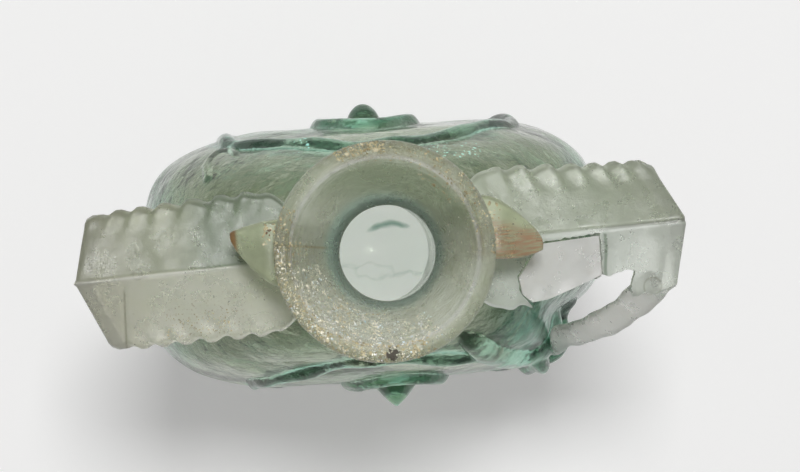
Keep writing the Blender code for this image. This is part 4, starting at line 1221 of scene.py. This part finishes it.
def mouth_glass():
    """The mouth's olive, weathered glass: fine marks round it, soil, painted shade on the funnel's far side,
    and a film at its lower left painted bright as highlights.
    """
    glass = Look("weathered_mouth_glass", tint=MOUTH_TINT, density=34, transmission=0.76)
    x, y, radius = glass.x, glass.y, glass.radius
    turn = glass.math("ARCTAN2", y, x)
    fine = glass.stretched(glass.times(radius, GROOVES_PER_METRE), glass.times(turn, 7), glass.level)
    cloud = glass.patches(130, 6, 0.65, 0.35, 0.7)
    glass.base = glass.colour(cloud, (0.99, 1.0, 0.89), (0.88, 0.90, 0.76))
    # Painted shade on the funnel's far side, its fine marks, the fold, a dark line inside the ledge, a
    # painted highlight along the ledge, and the throat.
    painted_shade_far_side = glass.ramp(glass.slant(0.30, 1.0), 0.003, 0.017)
    glass.paint((0.47, 0.54, 0.38), painted_shade_far_side, radius=(0.0216, 0.0204))
    glass.paint((0.58, 0.61, 0.45), glass.ramp(fine, 0.50, 0.64, 0.0, 0.6))
    glass.paint((0.62, 0.67, 0.46), radius=(0.0222, 0.0230, 0.0, 0.4))
    glass.paint((0.45, 0.50, 0.36), glass.band(radius, 0.0205, 0.0001, 0.0003), 0.5)
    # A painted highlight along the ledge.
    glass.paint((1.0, 1.0, 0.98), glass.band(radius, 0.0214, 0.0003, 0.0003))
    glass.paint((0.80, 1.0, 0.90), radius=(0.0146, 0.0122), level=(MOUTH_LEVEL - NECK_WALL, MOUTH_LEVEL))
    # Soil at the lower left, at the top and at the right of the rim, and in the crack.
    grain = glass.zone(glass.patches(1100, 6, 0.7, 0.42, 0.60), radius=(0.0195, 0.0222))
    crack = glass.band(glass.slant(0.156, 1.0), 0.0002, 0.00016, 0.00020)
    soil = glass.most(glass.times(grain, glass.ramp(glass.slant(-0.75, -0.66), 0.004, 0.016)),
                      glass.zone(grain, y=(0.0190, 0.0230)),
                      glass.times(grain, glass.band(turn, 0.72, 0.25, 0.2), 0.7),
                      glass.zone(crack, x=(-0.0120, -0.0140)))
    crust = glass.colour(glass.zone(y=(-0.008, 0.012)), (0.78, 0.70, 0.44), (0.46, 0.39, 0.23))
    glass.paint(crust, soil, 0.8)
    bubble = glass.band(glass.distance(x, y, BUBBLE), BUBBLE_RADIUS, 0.00006, 0.00014)
    glass.paint((0.36, 0.42, 0.30), bubble, 0.7)
    # The weathering film at the lower left, painted bright and gold as highlights, and its pits.
    film_and_highlights = glass.ramp(glass.slant(-0.55, -0.83), 0.003, 0.014)
    highlight_gilt = glass.colour(glass.patches(420, 3, 0.6, 0.44, 0.58), (1.0, 1.0, 1.0), (1.0, 0.93, 0.70))
    glass.paint(highlight_gilt, film_and_highlights, glass.patches(1900, 4, 0.7, 0.50, 0.58), 0.7)
    glass.paint((0.36, 0.31, 0.18), film_and_highlights, glass.patches(1600, 4, 0.7, 0.57, 0.63, 0.0, 0.8))
    rough = glass.ramp(cloud, 0.0, 1.0, 0.14, 0.34)
    return glass.finish(rough, (fine, 0.00040), (glass.noise(1500, 4, 0.65), 0.00012))


def weathered_glass():
    """The handles' colourless glass, frosted and pitted, painted browner as shade on the halves that look
    along +Y.
    """
    glass = Look("pale_weathered_glass", tint=HANDLE_TINT, density=20, transmission=0.66)
    x, y = glass.x, glass.y
    cloud = glass.patches(120, 6, 0.65, 0.35, 0.72)
    # Painted light and shade: the halves that look along -Y are painted lighter and those that look along +Y
    # darker and browner, both in cooler colours on the right strap.
    right = glass.zone(x=(-0.01, 0.01))
    upper = glass.zone(y=(-0.0004, 0.0008))
    lit_colour = glass.colour(cloud, (1.0, 1.0, 0.90), (0.96, 0.97, 0.83))
    lit_colour = glass.colour(right, lit_colour, (0.88, 0.92, 0.86))
    shaded_colour = glass.colour(cloud, (0.63, 0.66, 0.52), (0.50, 0.53, 0.39))
    shaded_colour = glass.colour(glass.times(right, 0.7), shaded_colour, (0.66, 0.72, 0.60))
    glass.base = glass.colour(upper, lit_colour, shaded_colour)
    # Painted shade, deeper on the inner part of the left strap's +Y half.
    glass.paint((0.34, 0.41, 0.31), upper, glass.zone(x=(-0.050, -0.038)), 0.9, x=(0.0, -0.01))
    # The faint rings, painted shade in the crease and towards the bends, a painted highlight along the left
    # ridge, painted shade along the right one, and the crack beside the pane.
    for middle, radius in STRAP_RINGS:
        ring = glass.band(glass.distance(x, y, middle), radius, 0.0001, 0.0002)
        glass.paint((0.40, 0.42, 0.33), ring, level=(0.160, 0.165, 0.0, 0.6))
    # Painted shade in the crease.
    crease = glass.band(glass.slant(1.0, -0.094), CREASE_X, 0.0001, 0.0003)
    glass.paint((0.40, 0.40, 0.30), crease, y=(-0.0015, -0.0040, 0.0, 0.7))
    # Painted shade towards the bends, deeper on the left handle.
    glass.paint((0.52, 0.50, 0.41), aside=(0.052, 0.066), x=(-0.01, 0.01, 0.35, 0.10))
    # A painted highlight along the left ridge's bead, and painted shade in the right ridge's groove.
    on_ridge = (0.0002, 0.0006, 0.7, 0.0)
    glass.paint((0.97, 0.96, 0.90), off=on_ridge, x=(-0.03, -0.035))
    glass.paint((0.36, 0.38, 0.32), off=on_ridge, x=(0.050, 0.055))
    wander = glass.math("ADD", x, glass.zone(y=(-0.004, -0.010, -0.0004, 0.0002)))
    crack = glass.zone(glass.band(wander, CRACK_X, 0.00015, 0.0004), y=(-0.0008, -0.0016, 0.0, 0.8))
    glass.paint((0.32, 0.40, 0.31), crack, y=(-0.0145, -0.0125))
    # The strip, bluer where it runs into the body.
    glass.paint((0.50, 0.72, 0.62), x=(0.030, 0.036), level=(0.118, 0.098, 0.0, 0.7), y=(-0.022, -0.028))
    glass.paint((1.0, 1.0, 0.95), y=(-0.0140, -0.0165), level=(0.168, 0.160, 0.0, 0.8))
    # Brown pits on the left strap, and pits all over.
    pits = glass.zone(glass.patches(1300, 5, 0.75, 0.56, 0.64, 0.0, 0.8), x=(-0.030, -0.036))
    glass.paint((0.36, 0.29, 0.18), pits, x=(-0.055, -0.050), y=(-0.004, -0.008))
    glass.paint((0.48, 0.46, 0.36), glass.patches(900, 5, 0.7, 0.63, 0.70, 0.0, 0.3))
    # The olive tongues, with orange streaks on the right one and a brown tip on the left one.
    tongue = glass.zone(level=(0.1845, 0.1870))
    glass.paint(glass.colour(cloud, (0.72, 0.78, 0.56), (0.56, 0.61, 0.42)), tongue)
    drawn_out = [glass.times(axis, stretch) for axis, stretch in zip((x, y), STREAK_STRETCH)]
    streaks = glass.ramp(glass.stretched(*drawn_out, glass.level), 0.38, 0.60, 0.25, 1.0)
    lower_edge = glass.ramp(glass.slant(0.35, 1.0), 0.0149, 0.0113)
    glass.paint((0.62, 0.39, 0.24), tongue, lower_edge, streaks, x=(0.020, 0.024))
    glass.paint((0.42, 0.25, 0.11), tongue, x=(-0.0325, -0.0336))
    rough = glass.patches(160, 5, 0.6, 0.35, 0.7, 0.24, 0.42)
    return glass.finish(rough, (glass.noise(240, 2), 0.00025), (glass.noise(2000, 5, 0.7), 0.00008))


def fill_glass():
    """The restorer's clear pane, a little cloudy with use."""
    glass = Look("clear_fill", tint=PANE_TINT, density=5, transmission=0.53)
    glass.base = glass.colour(glass.patches(320, 6, 0.7, 0.42, 0.7), (1.0, 1.0, 0.98), (0.96, 0.95, 0.92))
    return glass.finish(glass.patches(300, 5, 0.6, 0.35, 0.7, 0.16, 0.30), (glass.noise(300, 2), 0.00003))


def crumb_material(name, first, second, third, roughness, spots):
    """Opaque crumbs in a mixture of three colours, and of another colour in each spot."""
    crumbs = Look(name)
    crumbs.base = crumbs.colour(crumbs.patches(380, 2, 0.5, 0.36, 0.50), first, second)
    crumbs.paint(third, crumbs.patches(610, 2, 0.5, 0.55, 0.62))
    for middle, radius, colour in spots:
        crumbs.paint(colour, crumbs.ramp(crumbs.distance(crumbs.x, crumbs.y, middle), radius * 1.2, radius))
    return crumbs.finish(roughness)


# The stage.

FLOOR_HALF_SIZE = 3.0
FLOOR_LEVEL = -0.00015  # just under the foot, so that the two skins don't share one plane
# The brighter glow right under the foot is a painted pool of light.
FLOOR_GLOW = 0.27  # the floor is a soft light table, brightest right under the foot
PAINTED_GLOW_UNDER_FOOT = 0.60
GLOW_RADII = (0.014, 0.040)
SKY_STRENGTH = 0.21
LAMP_PLACE = (0.06, 0.34, 1.5)
LAMP_TARGET = (0, 0, 0.05)
LAMP_SIZE = (0.34, 0.24)
LAMP_POWER = 13
LIGHT_BOUNCES = 18  # light crosses up to eight skins of glass on its way to the table and back
MIRROR_BOUNCES = 6


def floor_material():
    table = Look("pale_floor")
    away = table.node("ShaderNodeVectorMath", "Value", {0: table.place}, operation="LENGTH")
    table.put(table.shader, "Emission Color", (1.0, 0.995, 0.99))
    # A painted pool of light: the floor glows brighter right under the foot.
    table.put(table.shader, "Emission Strength", table.ramp(away, *GLOW_RADII, PAINTED_GLOW_UNDER_FOOT, FLOOR_GLOW))
    table.put(table.shader, "Specular IOR Level", 0.2)
    table.base = (0.80, 0.80, 0.80)
    return table.finish(0.9)


def make_floor():
    h = FLOOR_HALF_SIZE
    corners = [(-h, -h, FLOOR_LEVEL), (h, -h, FLOOR_LEVEL), (h, h, FLOOR_LEVEL), (-h, h, FLOOR_LEVEL)]
    floor = bpy.data.objects.new("floor", new_mesh("floor", corners, [(0, 1, 2, 3)]))
    floor.data.materials.append(floor_material())
    scene.collection.objects.link(floor)


def light_scene():
    """A pale sky all round and one soft lamp overhead."""
    scene.world = bpy.data.worlds.new("studio")
    scene.world.use_nodes = True
    sky = scene.world.node_tree.nodes["Background"].inputs
    sky["Color"].default_value = (1.0, 0.99, 0.98, 1)
    sky["Strength"].default_value = SKY_STRENGTH
    lamp = bpy.data.objects.new("overhead", bpy.data.lights.new("overhead", "AREA"))
    lamp.data.shape = "RECTANGLE"
    lamp.data.size, lamp.data.size_y = LAMP_SIZE
    lamp.data.energy = LAMP_POWER
    lamp.location = LAMP_PLACE
    lamp.rotation_euler = (Vector(LAMP_TARGET) - Vector(LAMP_PLACE)).to_track_quat("-Z", "Y").to_euler()
    scene.collection.objects.link(lamp)
    scene.view_settings.view_transform = "Standard"
    scene.cycles.max_bounces = LIGHT_BOUNCES
    scene.cycles.transmission_bounces = LIGHT_BOUNCES
    scene.cycles.glossy_bounces = MIRROR_BOUNCES


make_floor()
light_scene()
body_glass = blue_green_glass()
handle_glass = weathered_glass()
vessel = make_vessel(body_glass, mouth_glass())
left_handle = make_left_handle(handle_glass)
right_handle, pane = make_right_handle(handle_glass, fill_glass())
soil_look = crumb_material("brown_soil", *SOIL_COLOURS, roughness=0.85, spots=DARK_SPOTS)
scatter("soil_crumbs", SOIL, (vessel, left_handle, right_handle), soil_look, flatness=0.4, seed=71)
# Weathering flakes, coloured bright as painted glints.
film_and_glint_look = crumb_material("iridescent_film_and_glints", *FILM_AND_GLINT_COLOURS, roughness=0.20, spots=GLINTS)
scatter("iridescent_flakes", FLAKES, (vessel,), film_and_glint_look, flatness=0.08, seed=72)
